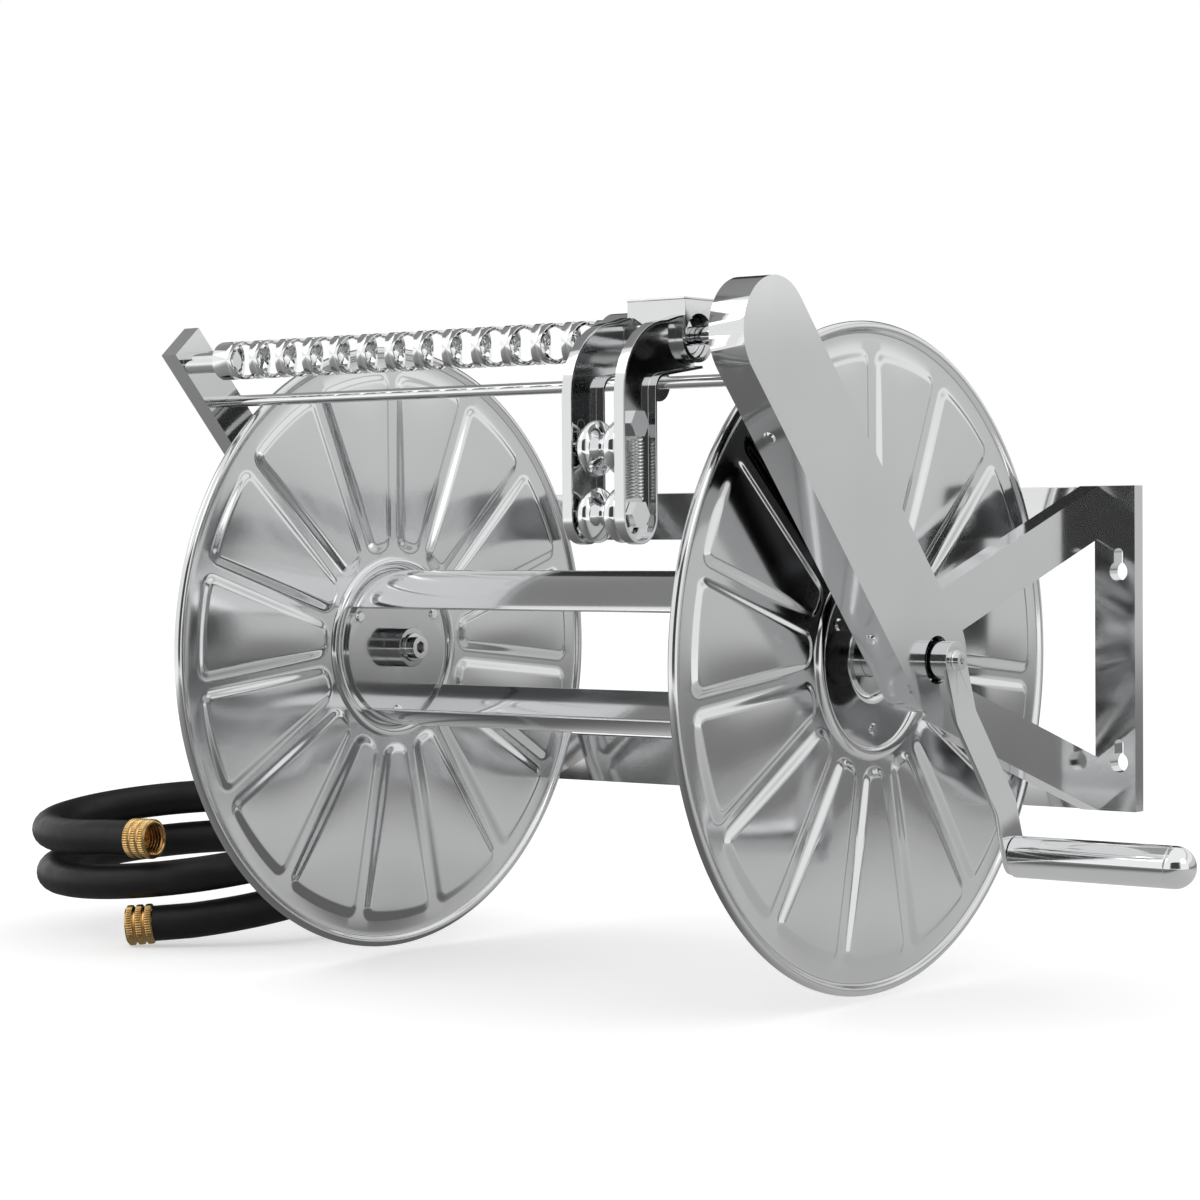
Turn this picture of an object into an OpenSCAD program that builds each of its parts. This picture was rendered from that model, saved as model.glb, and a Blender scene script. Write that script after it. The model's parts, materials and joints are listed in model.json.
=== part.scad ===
// Wall mounted hose reel with a crank, a chain driven lead screw and a hose guide that travels along it.
// The origin is on the wall, at the middle of the four keyholes. X runs along the drum, -Y into the room.
// The modules draw in the drum's own frame, with its origin on the drum's axis, and reel() places them.

/* [Drum] */
// Outer diameter of a side disc
disc_d = 380; // [376:1:384]
// Distance between the two side discs
drum_w = 362; // [356:1:368]
// Thickness of the disc sheet
disc_t = 1.2; // [1:0.1:1.6]
// Height of the pressed panels over the ribs
panel_raise = 2; // [1.5:0.1:2.5]
// Number of pressed panels in a disc
panel_count = 15; // [12:1:18]
// Flat width of a rib between two panels
rib_w = 9.6; // [8:0.2:11]
// Radius at which the panels start
panel_r_in = 64; // [62:1:68]
// Radius at which the panels end
panel_r_out = 171; // [168:1:172]
// Radius of the rolled rim bead
rim_bead_r = 3; // [2.5:0.1:3.5]
// Outer radius of the drum's two shells
shell_r = 49; // [48.5:0.5:49.5]
// Thickness of a drum shell
shell_t = 2; // [1.5:0.1:2.5]
// Angle that each drum shell covers
shell_angle = 95.5; // [85:0.5:110]
// Angle at which the upper shell starts, over the wall side
shell_start = 52; // [45:1:60]
// Radius of the hub plates
hub_plate_r = 45; // [44:0.5:46]
// Thickness of the hub plates
hub_plate_t = 2.5; // [2:0.1:3]
// Radius of the circle of hub screws
hub_screw_circle = 40; // [39:0.5:41]
// Radius of the drum axle on the inlet side
left_axle_r = 10; // [9.5:0.1:10.5]
// Radius of the drum axle on the crank side
right_axle_r = 10.5; // [10:0.1:10.6]

/* [Frame] */
// Thickness of the frame sheet
sheet_t = 2; // [1.6:0.1:2.4]
// Outer face of the crank side frame, from the drum's middle
right_face_x = 224; // [222:1:228]
// Inner face of the inlet side frame, from the drum's middle
left_face_x = -202; // [-206:1:-200]
// Clearance between the discs and the wall
wall_clear = 3; // [2:0.5:8]
// Depth of the wall plates and crossbars
wall_depth = 10; // [9:0.5:12]
// Width of a wall plate beside its frame
wall_plate_w = 25; // [24:0.5:30]
// Half height of the wall plates
frame_half_h = 98; // [94:1:104]
// Half height at which a rear arm meets the wall plate
arm_low_z = 66; // [62:1:70]
// Depth of the flanges on the rear arms
arm_flange = 12; // [9:0.5:14]
// Half width of the chain case
case_r = 29.2; // [28.8:0.1:31]
// Depth of the chain case
case_depth = 22; // [21:0.5:24]
// Radius of the frame round the drum's axle
hub_r = 31; // [30:0.5:33]
// Radius of the hole round the crank's collar
hub_hole_r = 13.5; // [13:0.1:14]
// Angle of the front arms above the horizontal
front_arm_angle = 48.5; // [47:0.5:50]
// Length of the inlet side's front arm beyond the lead screw
arm_end = 12; // [10:0.5:16]
// Width of the inlet side's front arm
arm_w = 25.6; // [24:0.2:28]
// Distance from the lead screw to the front edge of that arm
arm_front = 6.8; // [6.6:0.1:8]

/* [Keyholes] */
// Radius of a keyhole's round part
key_r = 6; // [5.5:0.1:6.5]
// Width of a keyhole's slot
key_slot = 6; // [5:0.1:6.5]
// Height of the slot's end over the round part
key_rise = 11; // [10:0.5:13]
// Wall of the collar behind a keyhole
key_wall = 2; // [1.5:0.1:2.5]
// Distance of the keyholes from the frame's side face
key_inset = 14; // [13:0.5:15]
// Height between the lower and the upper keyholes
key_spacing = 115; // [110:1:120]
// Height of the keyholes' middle below the drum's axis
key_drop = 11; // [8:1:14]

/* [Chain drive] */
// Chain pitch
chain_pitch = 9.525; // [9.525]
// Number of links in the chain
chain_links = 62; // [62]
// Teeth on each sprocket
sprocket_teeth = 13; // [13]
// Diameter of a chain roller
roller_d = 6.35; // [6:0.05:6.35]
// Width between the chain's side plates
chain_inner_w = 5.7; // [5.5:0.1:6]
// Height of a chain side plate
chain_plate_h = 8.2; // [7.5:0.1:8.3]
// Thickness of a chain's paired side plates
chain_plate_t = 2.4; // [2:0.1:2.6]
// Thickness of a sprocket's teeth
sprocket_t = 5.2; // [4.8:0.1:5.4]

/* [Lead screw and guide rod] */
// Outer radius of the lead screw
screw_r = 11.2; // [10.8:0.1:11.4]
// Wall of the lead screw
screw_wall = 2; // [1.6:0.1:2.4]
// Pitch of the lead screw's two ribbons
screw_pitch = 21.3; // [20:0.1:23]
// Width of a ribbon along the screw
ribbon_w = 6.5; // [5.5:0.1:7.5]
// Turns of the lead screw
screw_turns = 16; // [15:0.5:16]
// Radius of the screw's journal in the inlet side bearing
journal_left_r = 4; // [3.5:0.1:4.5]
// Radius of the screw's journal in the chain case
journal_right_r = 5; // [4.5:0.1:5.5]
// Outer radius of the inlet side's screw bearing
stub_r = 6.5; // [6:0.1:6.6]
// Length of the inlet side's screw bearing
stub_len = 24; // [22:0.5:25]
// Radius of the guide rod
rod_r = 3.4; // [3:0.1:3.5]
// Distance of the guide rod back from the lead screw, along the front arms
rod_back = 37.7; // [36.5:0.1:38]
// Distance of the guide rod behind the lead screw's line
rod_behind = 9.5; // [9:0.1:10]
// Width across the flats of the guide rod's nuts
nut_af = 10; // [9:0.5:10.5]
// Thickness of the guide rod's nuts
nut_t = 4; // [3:0.1:4.2]

/* [Hose guide] */
// Outer radius of the carriage tube
tube_r = 14; // [13.8:0.1:14.4]
// Clearance between the carriage tube and the lead screw
tube_clear = 0.4; // [0.3:0.05:0.5]
// Length of the carriage tube
tube_len = 56; // [54:1:60]
// Place of the carriage tube's crank side end
tube_end_x = 174; // [172:0.5:175]
// Length of the carriage's top block
block_len = 38; // [36:1:42]
// Width of the top block
block_w = 25; // [23:0.5:26]
// Height of the top block over the lead screw's axis
block_h = 18.6; // [17:0.2:20]
// Thickness of the block's cap
cap_t = 1.2; // [1:0.1:2]
// Width of a guide tray
tray_w = 28.4; // [28.2:0.1:30]
// Depth of a guide tray
tray_depth = 6.2; // [6:0.1:6.6]
// Sheet of the guide trays
tray_t = 1.5; // [1.2:0.1:1.6]
// Width between the two guide trays
tray_gap = 27.8; // [27:0.1:29]
// Distance of the guide rollers in front of the lead screw
guide_reach = 50.2; // [49:0.1:52]
// Height of the guide rollers' middle under the lead screw's axis
roller_drop = 76.3; // [75:0.1:78]
// Distance between the axles of the two guide rollers
roller_spacing = 34.6; // [34:0.1:36]
// Radius of a guide roller's ends
roller_end_r = 14.4; // [14:0.1:14.6]
// Rounding of a guide roller's ends
roller_round = 3; // [1:0.1:3.5]
// Radius of a guide roller's waist
roller_waist_r = 6; // [5.6:0.1:6.4]
// Radius of the guide rollers' axles
roller_axle_r = 4; // [3.6:0.1:4.2]
// Travel of the lower roller
tension_travel = 5.5; // [4:0.1:5.6]
// Turns of each tension spring
spring_turns = 17; // [12:1:18]
// Outer diameter of a tension spring
spring_od = 5.8; // [5:0.1:6]
// Wire diameter of a tension spring
spring_wire = 0.9; // [0.7:0.05:1]

/* [Crank] */
// Distance from the drum's axis to the grip's axis
crank_r = 118; // [112:1:126]
// Width of the crank arm
crank_w = 21; // [20:0.5:22]
// Thickness of the crank arm
crank_t = 3; // [2.5:0.1:3.5]
// Distance of the first fold from the drum's axis
crank_fold_in = 33.8; // [30:0.5:38]
// Distance of the second fold from the drum's axis
crank_fold_out = 87.4; // [84:0.5:92]
// Step of the crank arm between its folds
crank_step = 15; // [12:0.5:18]
// Length of the crank's collar
collar_len = 13; // [12:0.5:15]
// Angle of the crank arm from straight down, toward the wall
crank_angle = 19.3; // [0:0.1:40]
// Radius of the grip
grip_r = 11.75; // [11:0.05:12.5]
// Length of the grip's tube
grip_len = 97; // [90:1:105]
// Radius of the grip's pin
grip_pin_r = 5; // [4.5:0.1:5.5]

/* [Inlet] */
// Outer radius of the swivel's barrel
swivel_r = 15; // [14.5:0.1:17]
// Length of the swivel's barrel
swivel_len = 34; // [32:0.5:38]
// Radius over the thread of the inlet's male spigot
inlet_r = 13.2; // [13:0.1:13.4]
// Length of the spigot's thread
inlet_len = 14; // [12:0.5:16]

/* [Leader hose] */
// Outer diameter of the leader hose
hose_od = 23; // [22:0.1:23.5]
// Radius of the hose's loops
coil_r = 104; // [98:1:106]
// Height between one loop and the next
coil_pitch = 29.5; // [27:0.1:31]
// Number of loops
coil_turns = 2; // [2]
// Lean of the coil, higher on the wall side
coil_lean = 6.9; // [3:0.1:8]
// Diameter of a hose fitting
fitting_d = 26; // [25:0.5:29]
// Length of a hose fitting
fitting_len = 18; // [16:0.5:20]

/* [Hidden] */

$fn = 64;

// Running and seating clearances
run_clear = 0.05;
seat_clear = 0.05;
free_clear = 0.3;
cut = 1;

// Places that the driving sizes give
screw_distance = (chain_links - sprocket_teeth) * chain_pitch / 2;
arm_dir = [-cos(front_arm_angle), sin(front_arm_angle)];
arm_side = [sin(front_arm_angle), cos(front_arm_angle)];
screw_yz = screw_distance * arm_dir;
rod_yz = (screw_distance - rod_back) * arm_dir + rod_behind * arm_side;
key_x_right = right_face_x + key_inset;
key_x_left = left_face_x - key_inset;
pattern_x = (key_x_right + key_x_left) / 2;
wall_y = disc_d / 2 + wall_clear;
front_y = wall_y - wall_depth;
disc_x = drum_w / 2;
lid_x = right_face_x - case_depth;
chain_inset = 9;
chain_x = right_face_x - sheet_t - chain_inset;
disc_low_left = -disc_x - 1;
disc_low_right = disc_x - 1;
hub_left_x = disc_low_left + disc_t;
hub_right_x = disc_low_right - hub_plate_t;
tray_right_x = tube_end_x - tray_depth;
tray_left_x = tray_right_x - tray_gap - tray_depth;
roller_x = tray_right_x - tray_gap / 2;
roller_y = screw_yz[0] - guide_reach;
roller_mid_z = screw_yz[1] - roller_drop;
upper_roller_z = roller_mid_z + roller_spacing / 2;
lower_roller_z = roller_mid_z - roller_spacing / 2;
collar_x = right_face_x - 1;
crank_x = collar_x + collar_len;
grip_x = crank_x + crank_step + 0.5;

// Moves the drum's own frame so that the origin is in the middle of the keyholes, on the wall
module reel() translate([-pattern_x, -wall_y, key_drop]) children();

// Stands a drawing in Y and Z up along X, with its foot at x
module along_x(x) translate([x, 0, 0]) rotate([90, 0, 90]) children();

module rod_x(x0, x1, r) along_x(x0) cylinder(h = x1 - x0, r = r);

module at(yz) translate([yz[0], yz[1]]) children();

module hex(across) rotate(30) circle(d = across / cos(30), $fn = 6);

function reverse(list) = [for (i = [len(list) - 1:-1:0]) list[i]];
function arc(c, r, a0, a1, steps) = [for (i = [0:steps]) let (a = a0 + (a1 - a0) * i / steps) c + r * [cos(a), sin(a)]];

module half_disc(r) intersection() {
    circle(r);
    translate([0, -2 * r]) square([2 * r, 4 * r]);
}

// A flat pill round the line between the drum's axis and the lead screw
module pill(r) rotate(180 - front_arm_angle) {
    rotate(180) half_disc(r);
    translate([0, -r]) square([screw_distance, 2 * r]);
    translate([screw_distance, 0]) half_disc(r);
}

// Side frames

upper_edge_start = [5, 39.5];
upper_edge_end = [front_y, frame_half_h];
lower_edge_start = [-14, -32.6];
lower_edge_end = [front_y, -frame_half_h];
arm_inner_start = [20, 13.6];
lower_strip_y = 24;
upper_strip_y = 19;

// How far a rear arm reaches into the sheet of its wall plate
arm_root = sheet_t / 2;

module rear_arms_2d() {
    polygon([[0, 0], upper_edge_start, upper_edge_end, [front_y, arm_low_z], arm_inner_start]);
    polygon([
        [0, 0], [arm_inner_start[0], -arm_inner_start[1]],
        [front_y, -arm_low_z], lower_edge_end, lower_edge_start
    ]);
    for (foot = [-frame_half_h, arm_low_z])
        translate([front_y - arm_root, foot + arm_root / 2])
            square([2 * arm_root, frame_half_h - arm_low_z - arm_root]);
    circle(hub_r);
}

// The point at y on the line from p to q
function on_line(p, q, y) = [y, p[1] + (q[1] - p[1]) * (y - p[0]) / (q[0] - p[0])];

// A strip under the edge from p to q, one sheet thick and with upright ends
module edge_strip(p, q) {
    drop = [0, sheet_t * norm(q - p) / (q[0] - p[0])];
    polygon([p, q, q - drop, p - drop]);
}

// The flange under the lower rear arm's edge
module lower_arm_strip() {
    p = [lower_edge_start[0], -lower_edge_start[1]];
    q = [lower_edge_end[0], -lower_edge_end[1]];
    mirror([0, 1]) edge_strip(on_line(p, q, lower_strip_y), q);
}

module keyhole_2d(grow) {
    circle(key_r + grow);
    translate([-key_slot / 2 - grow, 0]) square([key_slot + 2 * grow, key_rise]);
    translate([0, key_rise]) circle(key_slot / 2 + grow);
}

module at_keyholes(x) {
    for (side = [-1, 1])
        translate([x, wall_y, side * key_spacing / 2 - key_drop]) rotate([90, 0, 0]) children();
}

// The wall plate beside a frame whose sheet ends at x, reaching out in direction dir
module wall_plate(x, dir) {
    low = min(x - sheet_t, x + dir * wall_plate_w);
    high = max(x, x + dir * wall_plate_w);
    difference() {
        union() {
            translate([low, front_y, -frame_half_h]) cube([high - low, sheet_t, 2 * frame_half_h]);
            translate([min(x + dir * wall_plate_w, x + dir * (wall_plate_w - sheet_t)), front_y, -frame_half_h])
                cube([sheet_t, wall_depth, 2 * frame_half_h]);
            at_keyholes(x + dir * key_inset) linear_extrude(wall_depth - cut) keyhole_2d(key_wall);
        }
        at_keyholes(x + dir * key_inset)
            translate([0, 0, -cut]) linear_extrude(wall_depth + 2 * cut) keyhole_2d(0);
    }
}

module frame_right() {
    color("silver") {
        along_x(right_face_x - sheet_t) linear_extrude(sheet_t) difference() {
            union() {
                rear_arms_2d();
                pill(case_r);
            }
            circle(hub_hole_r);
        }
        along_x(lid_x) difference() {
            linear_extrude(case_depth - sheet_t) difference() {
                pill(case_r);
                pill(case_r - sheet_t);
            }
            lid_screw_places() cylinder(h = 2 * sheet_t + 2 * cut, r = lid_screw_r + seat_clear, center = true);
        }
        along_x(right_face_x - arm_flange) linear_extrude(arm_flange - sheet_t) {
            edge_strip(upper_edge_start, upper_edge_end);
            lower_arm_strip();
        }
        wall_plate(right_face_x, 1);
    }
}

module frame_left() {
    arm_len = screw_distance + arm_end;
    color("silver") {
        along_x(left_face_x - sheet_t) linear_extrude(sheet_t) difference() {
            union() {
                rear_arms_2d();
                rotate(180 - front_arm_angle) translate([0, arm_front - arm_w]) square([arm_len, arm_w]);
            }
            circle(bush_left_r);
            at(rod_yz) circle(rod_r + seat_clear);
            at(screw_yz) circle(journal_left_r + free_clear);
        }
        along_x(left_face_x - arm_flange) linear_extrude(arm_flange - sheet_t) {
            edge_strip(on_line(upper_edge_start, upper_edge_end, upper_strip_y), upper_edge_end);
            lower_arm_strip();
            rotate(180 - front_arm_angle) difference() {
                translate([hub_r + 4, arm_front - arm_w]) square([arm_len - hub_r - 4, arm_w]);
                translate([hub_r, arm_front - arm_w + sheet_t])
                    square([arm_len - hub_r - sheet_t, arm_w - 2 * sheet_t]);
            }
        }
        wall_plate(left_face_x, -1);
    }
}

module crossbar(z) {
    wall = 1.5;
    h = frame_half_h - arm_low_z - 1;
    len_x = right_face_x - sheet_t - left_face_x;
    color("silver") translate([left_face_x, front_y, z - h / 2]) difference() {
        cube([len_x, wall_depth, h]);
        translate([-cut, wall, wall]) cube([len_x + 2 * cut, wall_depth - 2 * wall, h - 2 * wall]);
    }
}

crossbar_z = (frame_half_h + arm_low_z) / 2;
module crossbar_upper() crossbar(crossbar_z);
module crossbar_lower() crossbar(-crossbar_z);

// Chain case

lid_t = 1.5;
lid_r = case_r - sheet_t - free_clear;
lug_len = 16;
lug_w = 12;
lug_along = [43, 187];
lid_screw_r = 2;
bush_right_r = 13.5;
screw_bush_r = 8;
bush_left_r = 13;

// Puts a child's Z along the outward direction of the case's long sides, at each lid screw
module lid_screw_places() {
    for (s = lug_along, side = [-1, 1])
        rotate(180 - front_arm_angle) translate([s, side * (case_r - sheet_t), case_depth / 2])
            rotate([-90 * side, 0, 0]) children();
}

module chain_case_lid() {
    color("silver") along_x(lid_x) difference() {
        union() {
            linear_extrude(lid_t) pill(lid_r);
            rotate(180 - front_arm_angle) for (s = lug_along, side = [-1, 1])
                translate([s - lug_w / 2, side * (lid_r - lid_t / 2) - lid_t / 2, lid_t]) cube([lug_w, lid_t, lug_len]);
        }
        translate([0, 0, -cut]) linear_extrude(lid_t + 2 * cut) {
            circle(bush_right_r);
            at(screw_yz) circle(screw_bush_r);
            at(rod_yz) circle(rod_r + seat_clear);
        }
        lid_screw_places() cylinder(h = 8, r = lid_screw_r + seat_clear, center = true);
    }
}

module lid_screws() {
    color("silver") along_x(lid_x) lid_screw_places() {
        translate([0, 0, sheet_t]) cylinder(h = 1.2, r1 = lid_screw_r + 1.6, r2 = lid_screw_r + 0.8);
        translate([0, 0, -4]) cylinder(h = sheet_t + 4, r = lid_screw_r);
    }
}

// Bearings

module bush(x, dir, bore, outer, plate_t) {
    lip = 1.5;
    color("dimgray") difference() {
        union() {
            rod_x(min(x, x + dir * plate_t), max(x, x + dir * plate_t), outer);
            rod_x(min(x, x - dir * lip), max(x, x - dir * lip), outer + 2.5);
        }
        rod_x(x - 8, x + 8, bore);
    }
}

module axle_bush_left() bush(left_face_x, -1, left_axle_r + run_clear, bush_left_r, sheet_t);
module axle_bush_right() bush(lid_x, 1, right_axle_r + run_clear, bush_right_r, lid_t);

module screw_bush_right() {
    translate([0, screw_yz[0], screw_yz[1]])
        bush(lid_x, 1, journal_right_r + run_clear, screw_bush_r, lid_t);
}

module screw_bearing_left() {
    color("silver") translate([0, screw_yz[0], screw_yz[1]]) difference() {
        rod_x(left_face_x, left_face_x + stub_len, stub_r);
        rod_x(left_face_x - cut, left_face_x + stub_len + cut, journal_left_r + run_clear);
    }
}

// Guide rod

module guide_rod() {
    color("silver") translate([0, rod_yz[0], rod_yz[1]])
        rod_x(left_face_x - sheet_t - nut_t - 2, lid_x + lid_t + nut_t + 1, rod_r);
}

module guide_rod_nuts() {
    color("silver") for (x = [left_face_x - sheet_t - nut_t, lid_x + lid_t])
        along_x(x) at(rod_yz) linear_extrude(nut_t) difference() {
            hex(nut_af);
            circle(rod_r + seat_clear);
        }
}

// Water inlet

swivel_flange_t = 3;
swivel_flange_r = 26;
swivel_x = left_face_x - sheet_t;
swivel_screw_y = 20.5;
water_r = 6;
inlet_x = swivel_x - swivel_len + swivel_r - 3;
inlet_top = swivel_r + 8;

module swivel_body() {
    color("goldenrod") difference() {
        union() {
            rod_x(swivel_x - swivel_flange_t, swivel_x, swivel_flange_r);
            rod_x(swivel_x - swivel_len, swivel_x, swivel_r);
            translate([inlet_x, 0, -inlet_top]) cylinder(h = inlet_top, r = inlet_r - 1.5);
            translate([inlet_x, 0, -inlet_top]) cylinder(h = 5, r = inlet_r + 3, $fn = 6);
            translate([inlet_x, 0, -inlet_top - inlet_len]) cylinder(h = inlet_len, r = inlet_r);
        }
        rod_x(axle_left_end - 2, swivel_x + cut, left_axle_r + run_clear);
        translate([inlet_x, 0, -inlet_top - inlet_len - cut]) cylinder(h = inlet_top + inlet_len + cut, r = water_r + 2);
        rod_x(swivel_x - swivel_len + 5, swivel_x, water_r);
        for (side = [-1, 1]) translate([0, side * swivel_screw_y, 0])
            rod_x(swivel_x - swivel_flange_t - cut, swivel_x + cut, lid_screw_r + seat_clear);
    }
}

axle_left_end = swivel_x - 14;

module swivel_seal() {
    color("black") along_x(axle_left_end - 1.9) linear_extrude(1.8) difference() {
        circle(left_axle_r - 0.3);
        circle(water_r + 0.5);
    }
}

module swivel_screws() {
    color("silver") for (side = [-1, 1]) translate([0, side * swivel_screw_y, 0]) {
        rod_x(swivel_x - swivel_flange_t - 2, swivel_x - swivel_flange_t, lid_screw_r + 1.6);
        rod_x(swivel_x - swivel_flange_t, swivel_x, lid_screw_r);
    }
}

// Discs

bead_mid_r = shell_r + 4.6;
bead_half_w = 4;
bead_h = 2.6;
wall_run = 4;
disc_bore_r = 20;
rib_slope = 1;

rib_step = 0.1;
below_disc = 3;

// Height of the sheet's upper face along a radius, from x0 at the bore to x1 at the rim
function disc_profile(x0, x1) = concat(
    [[x0, disc_t]],
    [for (a = [180:-30:0]) [bead_mid_r + bead_half_w * cos(a), disc_t + bead_h * sin(a)]],
    [
        [panel_r_in - wall_run / 2, disc_t],
        [panel_r_in + wall_run / 2, disc_t + panel_raise],
        [panel_r_out - wall_run / 2, disc_t + panel_raise],
        [panel_r_out + wall_run / 2, disc_t],
        [x1, disc_t]
    ]
);

// The space under the sheet's upper face, from the bore at x0 to the rim at x1: a turned solid cut by a channel at each rib
module under_sheet(x0, x1) {
    w0 = rib_w / 2;
    w1 = w0 + rib_slope * (panel_raise + cut);
    rib_top = disc_t + rib_step;
    channel_top = disc_t + panel_raise + cut;
    difference() {
        rotate_extrude($fn = 128) polygon(concat(disc_profile(x0, x1), [[x1, -below_disc], [x0, -below_disc]]));
        for (i = [0:panel_count - 1]) rotate(90 + i * 360 / panel_count)
            translate([panel_r_in - wall_run, 0]) rotate([90, 0, 90])
                linear_extrude(panel_r_out - panel_r_in + 2 * wall_run)
                    polygon([[-w0, rib_top], [w0, rib_top], [w1, channel_top], [-w1, channel_top]]);
    }
}

// A pressed disc: the same form twice, one sheet thickness apart
module disc() {
    rim_mid_r = disc_d / 2 - rim_bead_r;
    difference() {
        under_sheet(disc_bore_r, rim_mid_r);
        translate([0, 0, -disc_t]) under_sheet(disc_bore_r - cut, rim_mid_r + cut);
        hub_screw_places() translate([0, 0, -cut]) cylinder(h = disc_t + 2 * cut, r = hub_screw_r + seat_clear);
    }
    rotate_extrude($fn = 128) translate([rim_mid_r, disc_t / 2]) circle(rim_bead_r, $fn = 24);
}

hub_screw_r = 2;
module hub_screw_places() for (a = [30, 150, 270]) rotate(a) translate([hub_screw_circle, 0]) children();

module disc_left() {
    color("lightgray") along_x(disc_low_left) disc();
}

module disc_right() {
    color("lightgray") along_x(disc_low_right) disc();
}

module hub_plate(x, axle_r) {
    color("gray") along_x(x) linear_extrude(hub_plate_t) difference() {
        circle(hub_plate_r);
        circle(axle_r + seat_clear);
        hub_screw_places() circle(hub_screw_r + seat_clear);
    }
}

module hub_plate_left() hub_plate(hub_left_x, left_axle_r);
module hub_plate_right() hub_plate(hub_right_x, right_axle_r);

module hub_screws() {
    stack = hub_plate_t + disc_t;
    color("silver") for (x = [disc_low_left, hub_right_x]) along_x(x) hub_screw_places() {
        cylinder(h = stack, r = hub_screw_r);
        translate([0, 0, stack]) cylinder(h = 1.4, r1 = hub_screw_r + 1.6, r2 = hub_screw_r + 0.8);
    }
}

module drum_shell(start) {
    color("silver") along_x(hub_left_x) rotate(start) rotate_extrude(angle = shell_angle, $fn = 96)
        translate([shell_r - shell_t, 0]) square([shell_t, disc_low_right - hub_left_x]);
}

module drum_shell_upper() drum_shell(shell_start);
module drum_shell_lower() drum_shell(shell_start + 180);

// Axles

boss_r = 12.5;
boss_len = 13.3;
boss_x = hub_left_x + hub_plate_t;
bolt_r = 5;

module spindle_boss() {
    color("dimgray") difference() {
        rod_x(boss_x, boss_x + boss_len, boss_r);
        rod_x(boss_x - cut, boss_x + boss_len + cut, bolt_r + seat_clear);
    }
}

module spindle_washer() {
    color("silver") difference() {
        rod_x(boss_x + boss_len, boss_x + boss_len + 1.5, 9);
        rod_x(boss_x, boss_x + boss_len + 1.5 + cut, bolt_r + seat_clear);
    }
}

// A bolt with a round head and a hexagon socket, its head's seat at x
module socket_bolt(x, len, shank_r, head_r, head_h, socket) {
    difference() {
        union() {
            rod_x(x - len, x, shank_r);
            rod_x(x, x + head_h, head_r);
        }
        along_x(x + head_h * 0.3) linear_extrude(head_h) hex(socket);
    }
}

module spindle_bolt() {
    color("silver") socket_bolt(boss_x + boss_len + 1.5, 28, bolt_r, 7, 5, 7);
}

module axle_left() {
    color("silver") difference() {
        rod_x(axle_left_end, boss_x, left_axle_r);
        rod_x(boss_x - 16, boss_x + cut, bolt_r + seat_clear);
        rod_x(axle_left_end - cut, boss_x - 15, water_r);
    }
}

crank_bolt_r = 3;
module axle_right() {
    color("silver") difference() {
        rod_x(hub_right_x, collar_x, right_axle_r);
        rod_x(collar_x - 18, collar_x + cut, crank_bolt_r + seat_clear);
    }
}

// Sprockets and chain

sprocket_r = chain_pitch / 2 / sin(180 / sprocket_teeth);
tooth_step = 360 / sprocket_teeth;
seat_r = roller_d / 2 + 0.2;
tooth_h = 2;
tooth_half = 2.4;

// The outline of the sprocket: a round seat for each roller and a narrow tooth between two seats
function sprocket_outline() = [
    for (i = [0:sprocket_teeth - 1]) let (a = i * tooth_step)
        each concat(
            arc(sprocket_r * [cos(a), sin(a)], seat_r, a + 250, a + 110, 8),
            [for (side = [-1, 1]) (sprocket_r + tooth_h)
                * [cos(a + tooth_step / 2 + side * tooth_half), sin(a + tooth_step / 2 + side * tooth_half)]]
        )
];

module sprocket(bore, turn) {
    linear_extrude(sprocket_t) difference() {
        rotate(90 - front_arm_angle + turn) polygon(sprocket_outline());
        circle(bore + seat_clear);
    }
    for (z = [-3, sprocket_t]) translate([0, 0, z]) linear_extrude(3) difference() {
        circle(bore + 4);
        circle(bore + seat_clear);
    }
}

module drum_sprocket() {
    color("gray") along_x(chain_x - sprocket_t / 2) sprocket(right_axle_r, 0);
}

module screw_sprocket() {
    color("gray") along_x(chain_x - sprocket_t / 2) at(screw_yz) sprocket(journal_right_r, tooth_step / 2);
}

// Point at distance s along the chain's pitch line, with the outward direction there, in the arm's frame
run_len = screw_distance;
bend_len = sprocket_teeth / 2 * chain_pitch;
chain_len = 2 * (run_len + bend_len);
function chain_at(s) =
    s < run_len ? [[s, -sprocket_r], [0, -1]] :
    s < run_len + bend_len ? let (a = -90 + 180 * (s - run_len) / bend_len)
        [[screw_distance, 0] + sprocket_r * [cos(a), sin(a)], [cos(a), sin(a)]] :
    s < 2 * run_len + bend_len ? [[screw_distance - (s - run_len - bend_len), sprocket_r], [0, 1]] :
    let (a = 90 + 180 * (s - 2 * run_len - bend_len) / bend_len)
        [sprocket_r * [cos(a), sin(a)], [cos(a), sin(a)]];

// Half height of a side plate: full at the pins and waisted between them
function plate_half(k) = chain_plate_h / 2 - (k % 4 == 2 ? 1.2 : k % 4 == 0 ? 0 : 0.3);
function chain_edge(side) = [
    for (k = [0:4 * chain_links - 1]) let (c = chain_at(k * chain_pitch / 4)) c[0] + side * plate_half(k) * c[1]
];

module chain_plates() {
    count = 4 * chain_links;
    polygon(
        concat(chain_edge(1), chain_edge(-1)),
        [[for (k = [0:count - 1]) k], [for (k = [0:count - 1]) count + k]]
    );
}

module drive_chain() {
    color("dimgray") along_x(chain_x) rotate(180 - front_arm_angle) {
        for (z = [-chain_inner_w / 2 - chain_plate_t, chain_inner_w / 2])
            translate([0, 0, z]) linear_extrude(chain_plate_t) chain_plates();
        for (k = [0:chain_links - 1]) translate(chain_at(k * chain_pitch)[0])
            cylinder(h = chain_inner_w, d = roller_d, center = true, $fn = 16);
    }
}

// Crank

collar_r = 10.65;

module crank_place() rotate([crank_angle, 0, 0]) children();

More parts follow.
